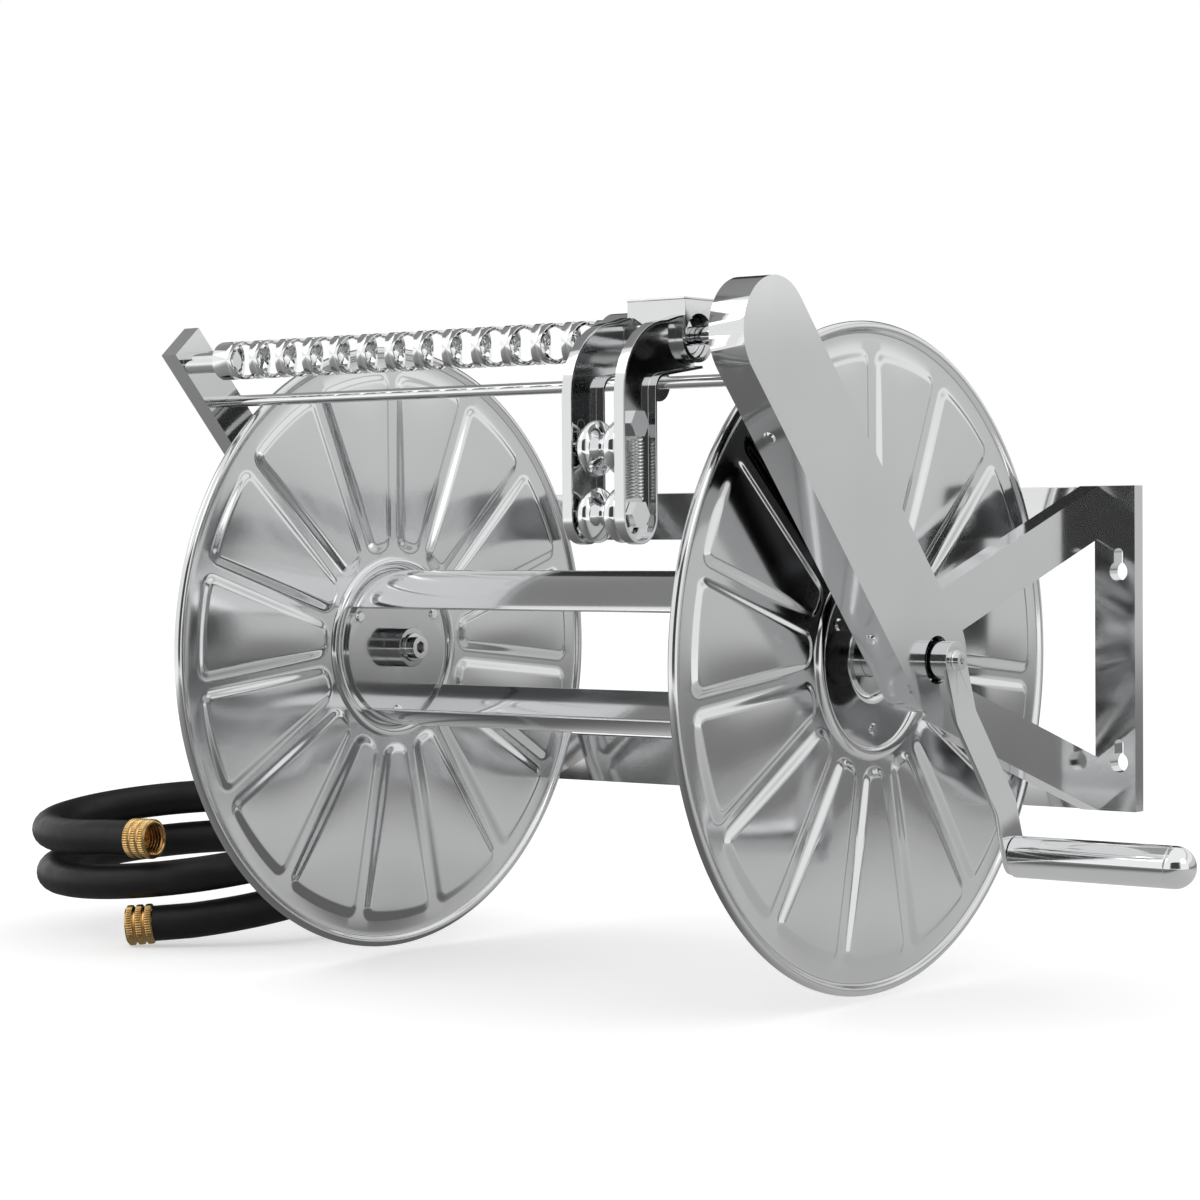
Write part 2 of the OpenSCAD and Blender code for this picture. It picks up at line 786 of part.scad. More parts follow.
module crank_arm() {
    out = crank_x + crank_step;
    end_z = -crank_r - crank_w / 2;
    color("silver") crank_place() difference() {
        union() {
            rod_x(collar_x, crank_x, collar_r);
            intersection() {
                rotate([90, 0, 0]) translate([0, 0, -crank_w / 2]) linear_extrude(crank_w) polygon([
                    [crank_x, crank_w / 2], [crank_x, -crank_fold_in], [out, -crank_fold_out], [out, end_z],
                    [out - crank_t, end_z], [out - crank_t, -crank_fold_out - 0.4],
                    [crank_x - crank_t, -crank_fold_in - 0.4], [crank_x - crank_t, crank_w / 2]
                ]);
                along_x(collar_x) linear_extrude(collar_len + crank_step + cut) {
                    circle(crank_w / 2);
                    translate([-crank_w / 2, -crank_r]) square([crank_w, crank_r]);
                    translate([0, -crank_r]) circle(crank_w / 2);
                }
            }
        }
        rod_x(collar_x - cut, crank_x + cut, crank_bolt_r + seat_clear);
        translate([0, 0, -crank_r]) rod_x(crank_x, out + cut, grip_pin_r + seat_clear);
    }
}

module crank_washer() {
    color("silver") difference() {
        rod_x(crank_x, crank_x + 1, 5.7);
        rod_x(crank_x - cut, crank_x + 1 + cut, crank_bolt_r + seat_clear);
    }
}

module crank_bolt() {
    color("silver") socket_bolt(crank_x + 1, 28, crank_bolt_r, 4.8, 3, 4);
}

module grip_axis() crank_place() translate([0, 0, -crank_r]) children();

module grip_pin() {
    color("silver") grip_axis() {
        rod_x(crank_x + crank_step - crank_t, grip_x + grip_len - 6, grip_pin_r);
        rod_x(crank_x + crank_step - crank_t - 2, crank_x + crank_step - crank_t, grip_pin_r + 2.5);
        rod_x(grip_x + grip_len - 6, grip_x + grip_len - 3, grip_pin_r + 2);
    }
}

module grip() {
    color("silver") grip_axis() difference() {
        rod_x(grip_x, grip_x + grip_len, grip_r);
        rod_x(grip_x - cut, grip_x + grip_len - 8, grip_pin_r + run_clear);
        rod_x(grip_x + grip_len - 8, grip_x + grip_len + cut, grip_pin_r + 2.5);
    }
}

module grip_cap() {
    color("silver") grip_axis() along_x(grip_x + grip_len) {
        rotate_extrude() intersection() {
            translate([0, 1.5]) circle(grip_r);
            square([grip_r, 2 * grip_r]);
        }
        translate([0, 0, -2.5]) cylinder(h = 2.6, r = grip_pin_r + 2.4);
    }
}

// Lead screw

screw_x0 = left_face_x + stub_len + 6;
screw_len = screw_turns * screw_pitch;
ribbon_steps = 14;

// One ribbon of the lead screw: a flat strip wound round X, in direction dir
module ribbon(dir) {
    n = screw_turns * ribbon_steps;
    function ring(i) = let (
        a = dir * 360 * i / ribbon_steps,
        x = i * screw_pitch / ribbon_steps,
        u = [cos(a), sin(a)],
        lo = max(x - ribbon_w / 2, 0),
        hi = min(x + ribbon_w / 2, screw_len)
    ) [for (c = [[screw_r, lo], [screw_r, hi], [screw_r - screw_wall, hi], [screw_r - screw_wall, lo]])
        [c[0] * u[0], c[0] * u[1], c[1]]];
    points = [for (i = [0:n]) each ring(i)];
    sides = [for (i = [0:n - 1], k = [0:3]) let (a = 4 * i + k, b = 4 * i + (k + 1) % 4)
        each dir > 0 ? [[a, b, b + 4], [a, b + 4, a + 4]] : [[b, a, b + 4], [b + 4, a, a + 4]]];
    ends = dir > 0 ? [[3, 2, 1, 0], [for (k = [0:3]) 4 * n + k]] : [[0, 1, 2, 3], [for (k = [3:-1:0]) 4 * n + k]];
    polyhedron(points, concat(sides, ends));
}

module screw_lattice() {
    color("silver") along_x(screw_x0) at(screw_yz) {
        ribbon(1);
        ribbon(-1);
    }
}

screw_end_r = (screw_r - screw_wall) * cos(180 / ribbon_steps) - seat_clear;

module screw_end(x0, x1) along_x(x0) at(screw_yz) cylinder(h = x1 - x0, r = screw_end_r);

module screw_journal_left() {
    color("silver") {
        screw_end(screw_x0, screw_x0 + 3);
        along_x(left_face_x + 2) at(screw_yz) cylinder(h = screw_x0 - left_face_x - 2, r = journal_left_r);
    }
}

module screw_journal_right() {
    end = screw_x0 + screw_len;
    color("silver") {
        screw_end(end - 3, end);
        along_x(end) at(screw_yz) cylinder(h = right_face_x - sheet_t - 1 - end, r = journal_right_r);
    }
}

// Carriage

bore_r = screw_r + tube_clear;
block_x = tube_end_x + 1 - block_len;
pawl_r = 5;
bracket_t = 3;
bracket_x = tube_end_x - tube_len + 3;
bush_eye_r = 10;

module carriage_body() {
    step = rod_yz - screw_yz;
    across = [-step[1], step[0]] / norm(step);
    color("silver") difference() {
        union() {
            along_x(tube_end_x - tube_len) at(screw_yz) cylinder(h = tube_len, r = tube_r);
            translate([block_x, screw_yz[0] - block_w / 2, screw_yz[1]]) cube([block_len, block_w, block_h]);
            along_x(bracket_x) linear_extrude(bracket_t) {
                at(screw_yz) circle(tube_r);
                at(rod_yz) circle(bush_eye_r);
                polygon([
                    screw_yz + tube_r * across, screw_yz - tube_r * across,
                    rod_yz - bush_eye_r * across, rod_yz + bush_eye_r * across
                ]);
            }
        }
        along_x(tube_end_x - tube_len - cut) at(screw_yz) cylinder(h = tube_len + 3 * cut, r = bore_r);
        along_x(bracket_x - cut) at(rod_yz) cylinder(h = bracket_t + 2 * cut, r = rod_r + free_clear);
        translate([pawl_x, screw_yz[0], screw_yz[1]]) cylinder(h = block_h + cut, r = pawl_r + run_clear);
    }
}

pawl_x = block_x + block_len / 2;

module carriage_cap() {
    over = 0.8;
    color("silver") translate([block_x, screw_yz[0] - block_w / 2 - over, screw_yz[1] + block_h])
        cube([block_len, block_w + 2 * over, cap_t]);
}

module follower_pawl() {
    color("goldenrod") translate([pawl_x, screw_yz[0], screw_yz[1] + screw_r + tube_clear])
        cylinder(h = block_h - screw_r - tube_clear, r = pawl_r);
}

// Outline of a guide tray in Y and Z, drawn in from its edge by w
tray_front = roller_y - tray_w / 2;
tray_back = roller_y + tray_w / 2;
tray_top_r = 39;
tray_top_c = [tray_front + tray_top_r, screw_yz[1] - 31.8];
tray_lip = 8.5;
tray_fillet = 8;
tray_fillet_c = [tray_back + tray_fillet, screw_yz[1] - 29.8];
tray_bottom_z = lower_roller_z - 1;
tray_end_top = screw_yz + [-14, 10.5];
tray_end_low = screw_yz + [4.5, 0];
function tray_lip_z(y) = tray_fillet_c[1] + tray_fillet / cos(tray_lip) + (y - tray_fillet_c[0]) * tan(tray_lip);
function tray_outline(w) = concat(
    arc([roller_y, tray_bottom_z], tray_w / 2 - w, 360, 180, 16),
    arc(tray_top_c, tray_top_r - w, 180, 92, 10),
    [tray_end_top - [0, w], [tray_end_low[0], tray_lip_z(tray_end_low[0]) + w]],
    arc(tray_fillet_c, tray_fillet + w, 90 + tray_lip, 180, 5)
);

slot_r = roller_axle_r + 0.15;

module guide_tray(x) {
    along_x(x) difference() {
        linear_extrude(tray_depth) polygon(tray_outline(0));
        translate([0, 0, tray_t]) linear_extrude(tray_depth) polygon(tray_outline(tray_t));
        translate([0, 0, -cut]) linear_extrude(tray_depth + 2 * cut) at(screw_yz) circle(tube_r + seat_clear);
        translate([0, 0, -cut]) linear_extrude(tray_depth) {
            at([roller_y, upper_roller_z]) circle(roller_axle_r + seat_clear);
            at([roller_y, lower_roller_z]) circle(slot_r);
            at([roller_y, lower_roller_z - tension_travel]) circle(slot_r);
            translate([roller_y - slot_r, lower_roller_z - tension_travel]) square([2 * slot_r, tension_travel]);
            at([roller_y, anchor_z]) circle(anchor_r + seat_clear);
        }
    }
}

module guide_tray_left() {
    color("silver") guide_tray(tray_left_x);
}

module guide_tray_right() {
    color("silver") guide_tray(tray_right_x);
}

module rod_bush() {
    len_x = 17;
    color("dimgray") along_x(bracket_x - len_x) at(rod_yz) difference() {
        cylinder(h = len_x, r = bush_eye_r);
        translate([0, 0, -cut]) cylinder(h = len_x + 2 * cut, r = rod_r + run_clear);
    }
}

// Rollers, bolts and springs

anchor_z = upper_roller_z + 12;
anchor_r = 3;
hex_af = 13;
hex_corner = hex_af / 2 / cos(30);
head_h = 4.5;
bolt_head_x = tray_right_x + tray_t;
left_head_x = tray_left_x - head_h;

module upper_roller_axle() {
    color("silver") along_x(tray_left_x) at([roller_y, upper_roller_z])
        cylinder(h = tray_gap + tray_depth + tray_t, r = roller_axle_r);
}

module anchor_bolts() {
    color("silver") {
        along_x(tray_right_x) at([roller_y, anchor_z]) cylinder(h = tray_t, r = anchor_r);
        along_x(bolt_head_x) at([roller_y, anchor_z]) linear_extrude(head_h) rotate(30) hex(hex_af);
        along_x(tray_left_x) at([roller_y, anchor_z]) cylinder(h = tray_t, r = anchor_r);
        along_x(left_head_x) at([roller_y, anchor_z]) linear_extrude(head_h) rotate(30) hex(hex_af);
    }
}

module tension_bolt() {
    color("silver") along_x(left_head_x - 1) at([roller_y, lower_roller_z]) {
        cylinder(h = bolt_head_x + free_clear - left_head_x + 1, r = roller_axle_r);
        translate([0, 0, bolt_head_x + free_clear - left_head_x + 1]) linear_extrude(head_h) rotate(30) hex(hex_af);
    }
}

module tension_nut() {
    color("silver") along_x(left_head_x - free_clear) at([roller_y, lower_roller_z]) linear_extrude(head_h) difference() {
        rotate(30) hex(hex_af);
        circle(roller_axle_r + seat_clear);
    }
}

// A roller with rounded ends and a hollow waist that is part of a circle
module guide_roller(z) {
    width = tray_gap - 2 * free_clear;
    half_chord = width / 2 - roller_round / 2;
    depth = roller_end_r - roller_waist_r;
    hollow_r = (half_chord * half_chord + depth * depth) / 2 / depth;
    along_x(roller_x) at([roller_y, z]) rotate_extrude() difference() {
        offset(roller_round, $fn = 32)
            square([2 * (roller_end_r - roller_round), width - 2 * roller_round], center = true);
        translate([-roller_end_r - cut, -width]) square([roller_end_r + cut + roller_axle_r + run_clear, 2 * width]);
        translate([roller_waist_r + hollow_r, 0]) circle(hollow_r);
    }
}

module upper_roller() {
    color("silver") guide_roller(upper_roller_z);
}

module lower_roller() {
    color("silver") guide_roller(lower_roller_z);
}

// An unbroken tube along a path. Each step of the path is a centre and the two directions of its ring.
module swept_tube(steps, r, sides) {
    n = len(steps);
    points = [for (s = steps, k = [0:sides - 1]) let (a = k * 360 / sides) s[0] + r * (cos(a) * s[1] + sin(a) * s[2])];
    walls = [for (i = [0:n - 2], k = [0:sides - 1]) let (a = i * sides + k, b = i * sides + (k + 1) % sides)
        each [[a, a + sides, b + sides], [a, b + sides, b]]];
    polyhedron(points, concat(walls, [[for (k = [0:sides - 1]) k], [for (k = [sides - 1:-1:0]) (n - 1) * sides + k]]));
}

curl_rings = 8;
spring_low = lower_roller_z + hex_corner;
spring_high = anchor_z - hex_corner;
spring_r = spring_od / 2 - spring_wire / 2;
spring_lead = spring_wire;
spring_rise = (spring_high - spring_low - 2 * spring_lead) / spring_turns;

// The spring's path, up Z: a straight end, the curls and another straight end
function spring_path() = concat(
    [[[spring_r, 0, 0], [1, 0, 0], [0, -1, 0]]],
    [for (i = [0:spring_turns * curl_rings]) let (a = 360 * i / curl_rings, u = [cos(a), sin(a), 0])
        [spring_r * u + [0, 0, spring_lead + i * spring_rise / curl_rings], u, i == 0 || i == spring_turns * curl_rings ? [0, -0.7, 0.7] : [0, 0, 1]]],
    [[[spring_r, 0, spring_high - spring_low], [1, 0, 0], [0, -1, 0]]]
);

module tension_springs() {
    color("silver") for (x = [bolt_head_x + head_h / 2 + 0.8, left_head_x + head_h / 2 - 0.8])
        translate([x, roller_y, spring_low]) swept_tube(spring_path(), spring_wire / 2, 6);
}

// Leader hose

loop_rings = 24;
coil_centre = [-374, 20, -112];
coil_start = -82.5;
hose_lead = hose_od;

// The hose's path round the coil's own axis: a straight end, the loops and another straight end
function coil_dir(a) = [cos(a), sin(a), 0];
function coil_tangent(a) = [sin(a), -cos(a), 0];
function coil_point(i) = let (a = coil_start - 360 * i / loop_rings)
    coil_r * coil_dir(a) + [0, 0, -coil_pitch * i / loop_rings];
coil_steps = coil_turns * loop_rings - 2;
coil_end = coil_start - 360 * coil_steps / loop_rings;
function hose_path() = concat(
    [[coil_point(0) - hose_lead * coil_tangent(coil_start), coil_dir(coil_start), [0, 0, 1]]],
    [for (i = [0:coil_steps]) [coil_point(i), coil_dir(coil_start - 360 * i / loop_rings), [0, 0, 1]]],
    [[coil_point(coil_steps) + hose_lead * coil_tangent(coil_end), coil_dir(coil_end), [0, 0, 1]]]
);

module coil_frame() translate(coil_centre) rotate([coil_lean, 0, 0]) children();

module leader_hose() {
    color([0.08, 0.08, 0.08]) coil_frame() swept_tube(hose_path(), hose_od / 2, 6);
}

// A hose fitting whose mouth opens along Z: three knurled bands and a bored mouth
module fitting() {
    band = fitting_len / 3;
    rotate_extrude() difference() {
        union() {
            square([fitting_d / 2 - 1, fitting_len]);
            for (i = [0:2]) translate([0, i * band + 0.6]) square([fitting_d / 2, band - 1.2]);
        }
        translate([0, 4]) square([fitting_d / 2 - 3, fitting_len]);
        translate([-cut, -cut]) square([cut, fitting_len + 2 * cut]);
    }
}

// Puts a child's Z along the hose's end: which is 0 at the first end and 1 at the last
module hose_end(which) {
    path = hose_path();
    p = which == 0 ? path[0][0] : path[len(path) - 1][0];
    t = which == 0 ? -coil_tangent(coil_start) : coil_tangent(coil_end);
    coil_frame() translate(p) rotate([0, 90, atan2(t[1], t[0])]) children();
}

module hose_fitting_inlet() {
    color("goldenrod") hose_end(0) fitting();
}

module hose_fitting_outlet() {
    color("goldenrod") hose_end(1) fitting();
}

// Least gaps of the wound pieces to themselves, measured on points one turn apart
function least(list) = min(list);
coil_gap = least([for (i = [0:coil_steps - loop_rings]) norm(coil_point(i) - coil_point(i + loop_rings))]) - hose_od;
spring_points = [for (s = spring_path()) s[0]];
spring_gap = least([for (i = [1:len(spring_points) - 2 - curl_rings])
    norm(spring_points[i] - spring_points[i + curl_rings])]) - spring_wire;
echo(least_gap_hose = coil_gap, least_gap_spring = spring_gap);

reel() frame_right();
reel() frame_left();
reel() crossbar_upper();
reel() crossbar_lower();
reel() chain_case_lid();
reel() lid_screws();
reel() axle_bush_left();
reel() axle_bush_right();
reel() screw_bearing_left();
reel() screw_bush_right();
reel() guide_rod();
reel() guide_rod_nuts();
reel() swivel_body();
reel() swivel_seal();
reel() swivel_screws();
reel() drive_chain();
reel() disc_left();
reel() disc_right();
reel() hub_plate_left();
reel() hub_plate_right();
reel() drum_shell_upper();
reel() drum_shell_lower();
reel() hub_screws();
reel() spindle_boss();
reel() spindle_washer();
reel() spindle_bolt();
reel() axle_left();
reel() axle_right();
reel() drum_sprocket();
reel() crank_arm();
reel() crank_washer();
reel() crank_bolt();
reel() grip_pin();
reel() grip();
reel() grip_cap();
reel() screw_lattice();
reel() screw_journal_left();
reel() screw_journal_right();
reel() screw_sprocket();
reel() carriage_body();
reel() carriage_cap();
reel() follower_pawl();
reel() guide_tray_left();
reel() guide_tray_right();
reel() rod_bush();
reel() upper_roller_axle();
reel() anchor_bolts();
reel() tension_springs();
reel() upper_roller();
reel() tension_bolt();
reel() tension_nut();
reel() lower_roller();
reel() leader_hose();
reel() hose_fitting_inlet();
reel() hose_fitting_outlet();
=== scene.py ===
import json
import math

import bmesh
import bpy
from bpy.props import FloatProperty, FloatVectorProperty, IntProperty, PointerProperty
from mathutils import Matrix, Vector


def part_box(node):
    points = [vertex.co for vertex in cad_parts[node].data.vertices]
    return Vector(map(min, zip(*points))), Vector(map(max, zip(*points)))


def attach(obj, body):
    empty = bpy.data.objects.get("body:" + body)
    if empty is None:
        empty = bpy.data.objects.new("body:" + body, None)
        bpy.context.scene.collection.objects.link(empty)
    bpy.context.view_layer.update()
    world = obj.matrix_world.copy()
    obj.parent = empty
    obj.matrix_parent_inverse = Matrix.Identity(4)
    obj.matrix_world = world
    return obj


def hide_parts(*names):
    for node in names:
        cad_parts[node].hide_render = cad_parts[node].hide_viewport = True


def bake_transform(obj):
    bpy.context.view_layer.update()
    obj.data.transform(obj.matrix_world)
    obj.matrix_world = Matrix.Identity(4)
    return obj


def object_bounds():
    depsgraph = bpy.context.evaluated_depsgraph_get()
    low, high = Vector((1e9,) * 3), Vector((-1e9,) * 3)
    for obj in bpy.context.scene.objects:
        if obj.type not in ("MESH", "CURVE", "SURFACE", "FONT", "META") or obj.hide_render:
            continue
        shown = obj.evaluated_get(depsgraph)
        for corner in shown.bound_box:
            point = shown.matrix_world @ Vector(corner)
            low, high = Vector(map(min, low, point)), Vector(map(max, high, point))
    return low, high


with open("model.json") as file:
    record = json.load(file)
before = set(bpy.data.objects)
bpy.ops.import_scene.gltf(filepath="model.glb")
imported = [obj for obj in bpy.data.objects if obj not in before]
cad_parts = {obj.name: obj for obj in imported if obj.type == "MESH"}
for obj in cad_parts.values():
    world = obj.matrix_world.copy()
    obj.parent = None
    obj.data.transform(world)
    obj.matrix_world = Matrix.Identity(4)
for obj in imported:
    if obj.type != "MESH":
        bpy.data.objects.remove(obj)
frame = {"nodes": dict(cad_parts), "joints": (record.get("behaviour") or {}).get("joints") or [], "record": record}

bl_info = {
    "name": "Wall Mounted Hose Reel",
    "version": (1, 0, 0),
    "blender": (4, 5, 0),
    "location": "3D View > Sidebar > Hose Reel",
    "description": "Builds the visible pieces, finishes and studio of a wall mounted hose reel",
    "category": "Object",
}

JOINTS = {joint["name"]: joint for joint in frame["joints"]}
SLOT_OF = {part["node"]: part["material_slot"] for part in frame["record"]["subparts"]}
# Pieces that look different from the rest of their slot. The chain case's inner lid is made near-black as painted
# shade, so the disc mirrors the shaded inside of the case there.
OWN_FINISH = {"chain_case_lid": "case_painted_shade"}
CAD_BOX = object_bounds()
MM = 0.001

DRUM_AXIS = Vector(JOINTS["drum_spin"]["pos_m"])
SCREW_AXIS = Vector(JOINTS["screw_spin"]["pos_m"])
ROLLER_AXIS = Vector(JOINTS["upper_roller_spin"]["pos_m"])


# Settings

class ReelStageSettings(bpy.types.PropertyGroup):
    """The camera, the floor, the lamps and the grey cards that the steel mirrors"""
    camera_place: FloatVectorProperty(
        name="Camera place", description="Where the camera stands, from the middle of the drum's axis",
        default=(1.116, -1.4372, 0.0741), subtype="XYZ", unit="LENGTH")
    camera_yaw: FloatProperty(
        name="Camera yaw", description="Turn of the camera to its left from straight at the wall",
        default=math.radians(37.049), unit="ROTATION")
    camera_pitch: FloatProperty(
        name="Camera pitch", description="Angle that the camera looks down",
        default=math.radians(1.351), unit="ROTATION")
    camera_roll: FloatProperty(
        name="Camera roll", description="Roll of the camera round its own line of sight",
        default=math.radians(-0.383), unit="ROTATION")
    lens: FloatProperty(
        name="Lens", description="Focal length on a 36 mm sensor, in millimetres", default=91.03)
    shift: FloatProperty(
        name="Shift", description="Sideways shift of the picture, as a share of its width", default=-0.05)
    floor_colour: FloatVectorProperty(
        name="Floor colour", description="Colour of the plain floor", default=(0.82, 0.82, 0.82),
        subtype="COLOR", min=0.0, max=1.0)
    lamp_power: FloatProperty(
        name="Lamp power", description="Power of the main soft lamp", default=9.0, unit="POWER")


class ReelHoseSettings(bpy.types.PropertyGroup):
    """The loose leader hose and its two fittings"""
    centre: FloatVectorProperty(
        name="Coil centre", description="Middle of the hose's first loop, from the middle of the drum's axis",
        default=(-0.374, 0.020, -0.112), subtype="XYZ", unit="LENGTH")
    outer_d: FloatProperty(
        name="Hose diameter", description="Outer diameter of the hose", default=0.023, unit="LENGTH")
    loop_r: FloatProperty(
        name="Loop radius", description="Radius of the hose's loops", default=0.104, unit="LENGTH")
    pitch: FloatProperty(
        name="Loop pitch", description="Height between one loop and the next", default=0.0295, unit="LENGTH")
    lean: FloatProperty(
        name="Lean", description="Lean of the coil, higher on the wall side",
        default=math.radians(6.9), unit="ROTATION")
    start: FloatProperty(
        name="Start angle", description="Angle at which the coil starts",
        default=math.radians(-82.5), unit="ROTATION")
    turn: FloatProperty(
        name="Wound angle", description="Angle that the coil covers",
        default=math.radians(690.0), unit="ROTATION")
    fitting_d: FloatProperty(
        name="Fitting diameter", description="Diameter over a fitting's knurls", default=0.026, unit="LENGTH")
    fitting_len: FloatProperty(
        name="Fitting length", description="Length of a hose fitting", default=0.018, unit="LENGTH")
    knurls: IntProperty(
        name="Knurls", description="Number of knurls round a fitting", default=48, min=12)
    rubber: FloatVectorProperty(
        name="Rubber colour", description="Colour of the hose", default=(0.009, 0.009, 0.010),
        subtype="COLOR", min=0.0, max=1.0)
    brass: FloatVectorProperty(
        name="Brass colour", description="Colour of the fittings", default=(0.84, 0.55, 0.22),
        subtype="COLOR", min=0.0, max=1.0)


class ReelDiscSettings(bpy.types.PropertyGroup):
    """The two pressed side discs"""
    outer_r: FloatProperty(
        name="Disc radius", description="Outer radius of a side disc", default=0.190, unit="LENGTH")
    bore_r: FloatProperty(
        name="Bore radius", description="Radius of the disc's bore", default=0.020, unit="LENGTH")
    sheet: FloatProperty(
        name="Sheet", description="Thickness of the disc sheet", default=0.0012, unit="LENGTH")
    panels: IntProperty(
        name="Panels", description="Number of pressed panels", default=15, min=3)
    panel_in: FloatProperty(
        name="Panel start", description="Radius at which the panels start", default=0.064, unit="LENGTH")
    panel_out: FloatProperty(
        name="Panel end", description="Radius at which the panels end", default=0.171, unit="LENGTH")
    rib_half: FloatProperty(
        name="Half rib", description="Distance from a rib's middle to the middle of a panel's wall",
        default=0.0056, unit="LENGTH")
    raise_h: FloatProperty(
        name="Panel height", description="Height of a panel over the ribs", default=0.002, unit="LENGTH")
    wall_run: FloatProperty(
        name="Wall run", description="Width of the rounded wall round a panel", default=0.0064, unit="LENGTH")
    corner_r: FloatProperty(
        name="Corner radius", description="Radius of a panel's corners", default=0.006, unit="LENGTH")
    crown: FloatProperty(
        name="Crown", description="Bow of a panel over its edges", default=0.0009, unit="LENGTH")
    hub_bead_r: FloatProperty(
        name="Hub bead", description="Middle radius of the bead round the hub", default=0.0536, unit="LENGTH")
    rim_bead_r: FloatProperty(
        name="Rim bead", description="Radius of the rolled rim", default=0.003, unit="LENGTH")


class ReelScrewSettings(bpy.types.PropertyGroup):
    """The open lead screw"""
    outer_r: FloatProperty(
        name="Screw radius", description="Outer radius of the lead screw", default=0.0112, unit="LENGTH")
    wall: FloatProperty(
        name="Wall", description="Wall of the lead screw", default=0.002, unit="LENGTH")
    pitch: FloatProperty(
        name="Pitch", description="Pitch of the two ribbons", default=0.0213, unit="LENGTH")
    ribbon: FloatProperty(
        name="Ribbon width", description="Width of a ribbon along the screw", default=0.0065, unit="LENGTH")
    turns: IntProperty(
        name="Turns", description="Turns of the lead screw", default=16, min=2)
    rounding: FloatProperty(
        name="Window rounding", description="Exponent of the windows' outline, 1 for straight sides",
        default=1.16, min=1.0, max=2.0)


class ReelSpringSettings(bpy.types.PropertyGroup):
    """The two springs of the hose guide"""
    outer_d: FloatProperty(
        name="Spring diameter", description="Outer diameter of a spring", default=0.0058, unit="LENGTH")
    wire: FloatProperty(
        name="Wire", description="Diameter of the spring wire", default=0.0009, unit="LENGTH")
    turns: IntProperty(
        name="Turns", description="Turns of a spring", default=17, min=3)


class ReelRollerSettings(bpy.types.PropertyGroup):
    """The two rollers of the hose guide"""
    width: FloatProperty(
        name="Roller width", description="Width of a roller", default=0.0272, unit="LENGTH")
    end_r: FloatProperty(
        name="End radius", description="Largest radius of a roller's ends", default=0.0144, unit="LENGTH")
    waist_r: FloatProperty(
        name="Waist radius", description="Radius of a roller's waist", default=0.006, unit="LENGTH")
    face_r: FloatProperty(
        name="Face radius", description="Radius of a roller's flat end face", default=0.0085, unit="LENGTH")
    bore_r: FloatProperty(
        name="Roller bore", description="Radius of a roller's bore", default=0.00405, unit="LENGTH")
    shoulder: FloatProperty(
        name="Shoulder", description="Width of the rounded end beyond its largest radius",
        default=0.0058, unit="LENGTH")


class ReelFinishSettings(bpy.types.PropertyGroup):
    """The colours of steel and plastic, the near-black painted shade on the chain case's inner lid, and the
    rounding of the sheet edges
    """
    steel: FloatVectorProperty(
        name="Steel colour", description="Colour of the polished sheet", default=(0.76, 0.765, 0.77),
        subtype="COLOR", min=0.0, max=1.0)
    chrome: FloatVectorProperty(
        name="Bright steel colour", description="Colour of the turned and bright parts",
        default=(0.86, 0.865, 0.87), subtype="COLOR", min=0.0, max=1.0)
    hub_steel: FloatVectorProperty(
        name="Hub steel colour", description="Colour of the hub plates, chain and sprockets",
        default=(0.66, 0.665, 0.67), subtype="COLOR", min=0.0, max=1.0)
    # Painted shade: the inner lid is near-black so its mirror image in the disc reads as the shaded inside of the
    # chain case
    painted_lid_shade: FloatVectorProperty(
        name="Case lacquer", description="Dark lacquer on the chain case's inner lid",
        default=(0.045, 0.046, 0.048), subtype="COLOR", min=0.0, max=1.0)
    plastic: FloatVectorProperty(
        name="Bush colour", description="Colour of the plastic bushes", default=(0.03, 0.03, 0.032),
        subtype="COLOR", min=0.0, max=1.0)
    edge: FloatProperty(
        name="Edge round", description="Rounding of the sheet edges", default=0.00035, unit="LENGTH")


# Mesh and node helpers

def mesh_piece(name, verts, faces, smooth_angle=35.0):
    """A new mesh object with the given corners and faces, smooth up to an angle"""
    mesh = bpy.data.meshes.new(name)
    mesh.from_pydata([tuple(v) for v in verts], [], faces)
    mesh.validate()
    mesh.update()
    mesh.set_sharp_from_angle(angle=math.radians(smooth_angle))
    piece = bpy.data.objects.new(name, mesh)
    bpy.context.scene.collection.objects.link(piece)
    for face in mesh.polygons:
        face.use_smooth = True
    return piece


def merge_corners(piece, distance=1e-6):
    """Joins the corners of a piece that lie in one place"""
    work = bmesh.new()
    work.from_mesh(piece.data)
    bmesh.ops.remove_doubles(work, verts=work.verts, dist=distance)
    bmesh.ops.recalc_face_normals(work, faces=work.faces)
    work.to_mesh(piece.data)
    work.free()


def curve_piece(name, paths, radius, sides=6):
    """A round wire or tube along each list of points"""
    curve = bpy.data.curves.new(name, "CURVE")
    curve.dimensions = "3D"
    curve.bevel_depth = radius
    curve.bevel_resolution = sides
    curve.use_fill_caps = True
    for points in paths:
        spline = curve.splines.new("POLY")
        spline.points.add(len(points) - 1)
        for slot, point in zip(spline.points, points):
            slot.co = (*point, 1.0)
        spline.use_smooth = True
    piece = bpy.data.objects.new(name, curve)
    bpy.context.scene.collection.objects.link(piece)
    return piece


def wire_mesh(curve, name):
    """Turns a curve piece into a mesh piece with the same form"""
    bpy.context.view_layer.update()
    formed = curve.evaluated_get(bpy.context.evaluated_depsgraph_get())
    mesh = bpy.data.meshes.new_from_object(formed)
    mesh.name = name
    mesh.materials.clear()
    bpy.data.objects.remove(curve, do_unlink=True)
    piece = bpy.data.objects.new(name, mesh)
    bpy.context.scene.collection.objects.link(piece)
    for face in mesh.polygons:
        face.use_smooth = True
    return piece


def finish_piece(piece, body, material):
    """Gives a new piece its body, its slot and its finish"""
    piece.data.materials.clear()
    piece.data.materials.append(material)
    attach(piece, body)
    return piece


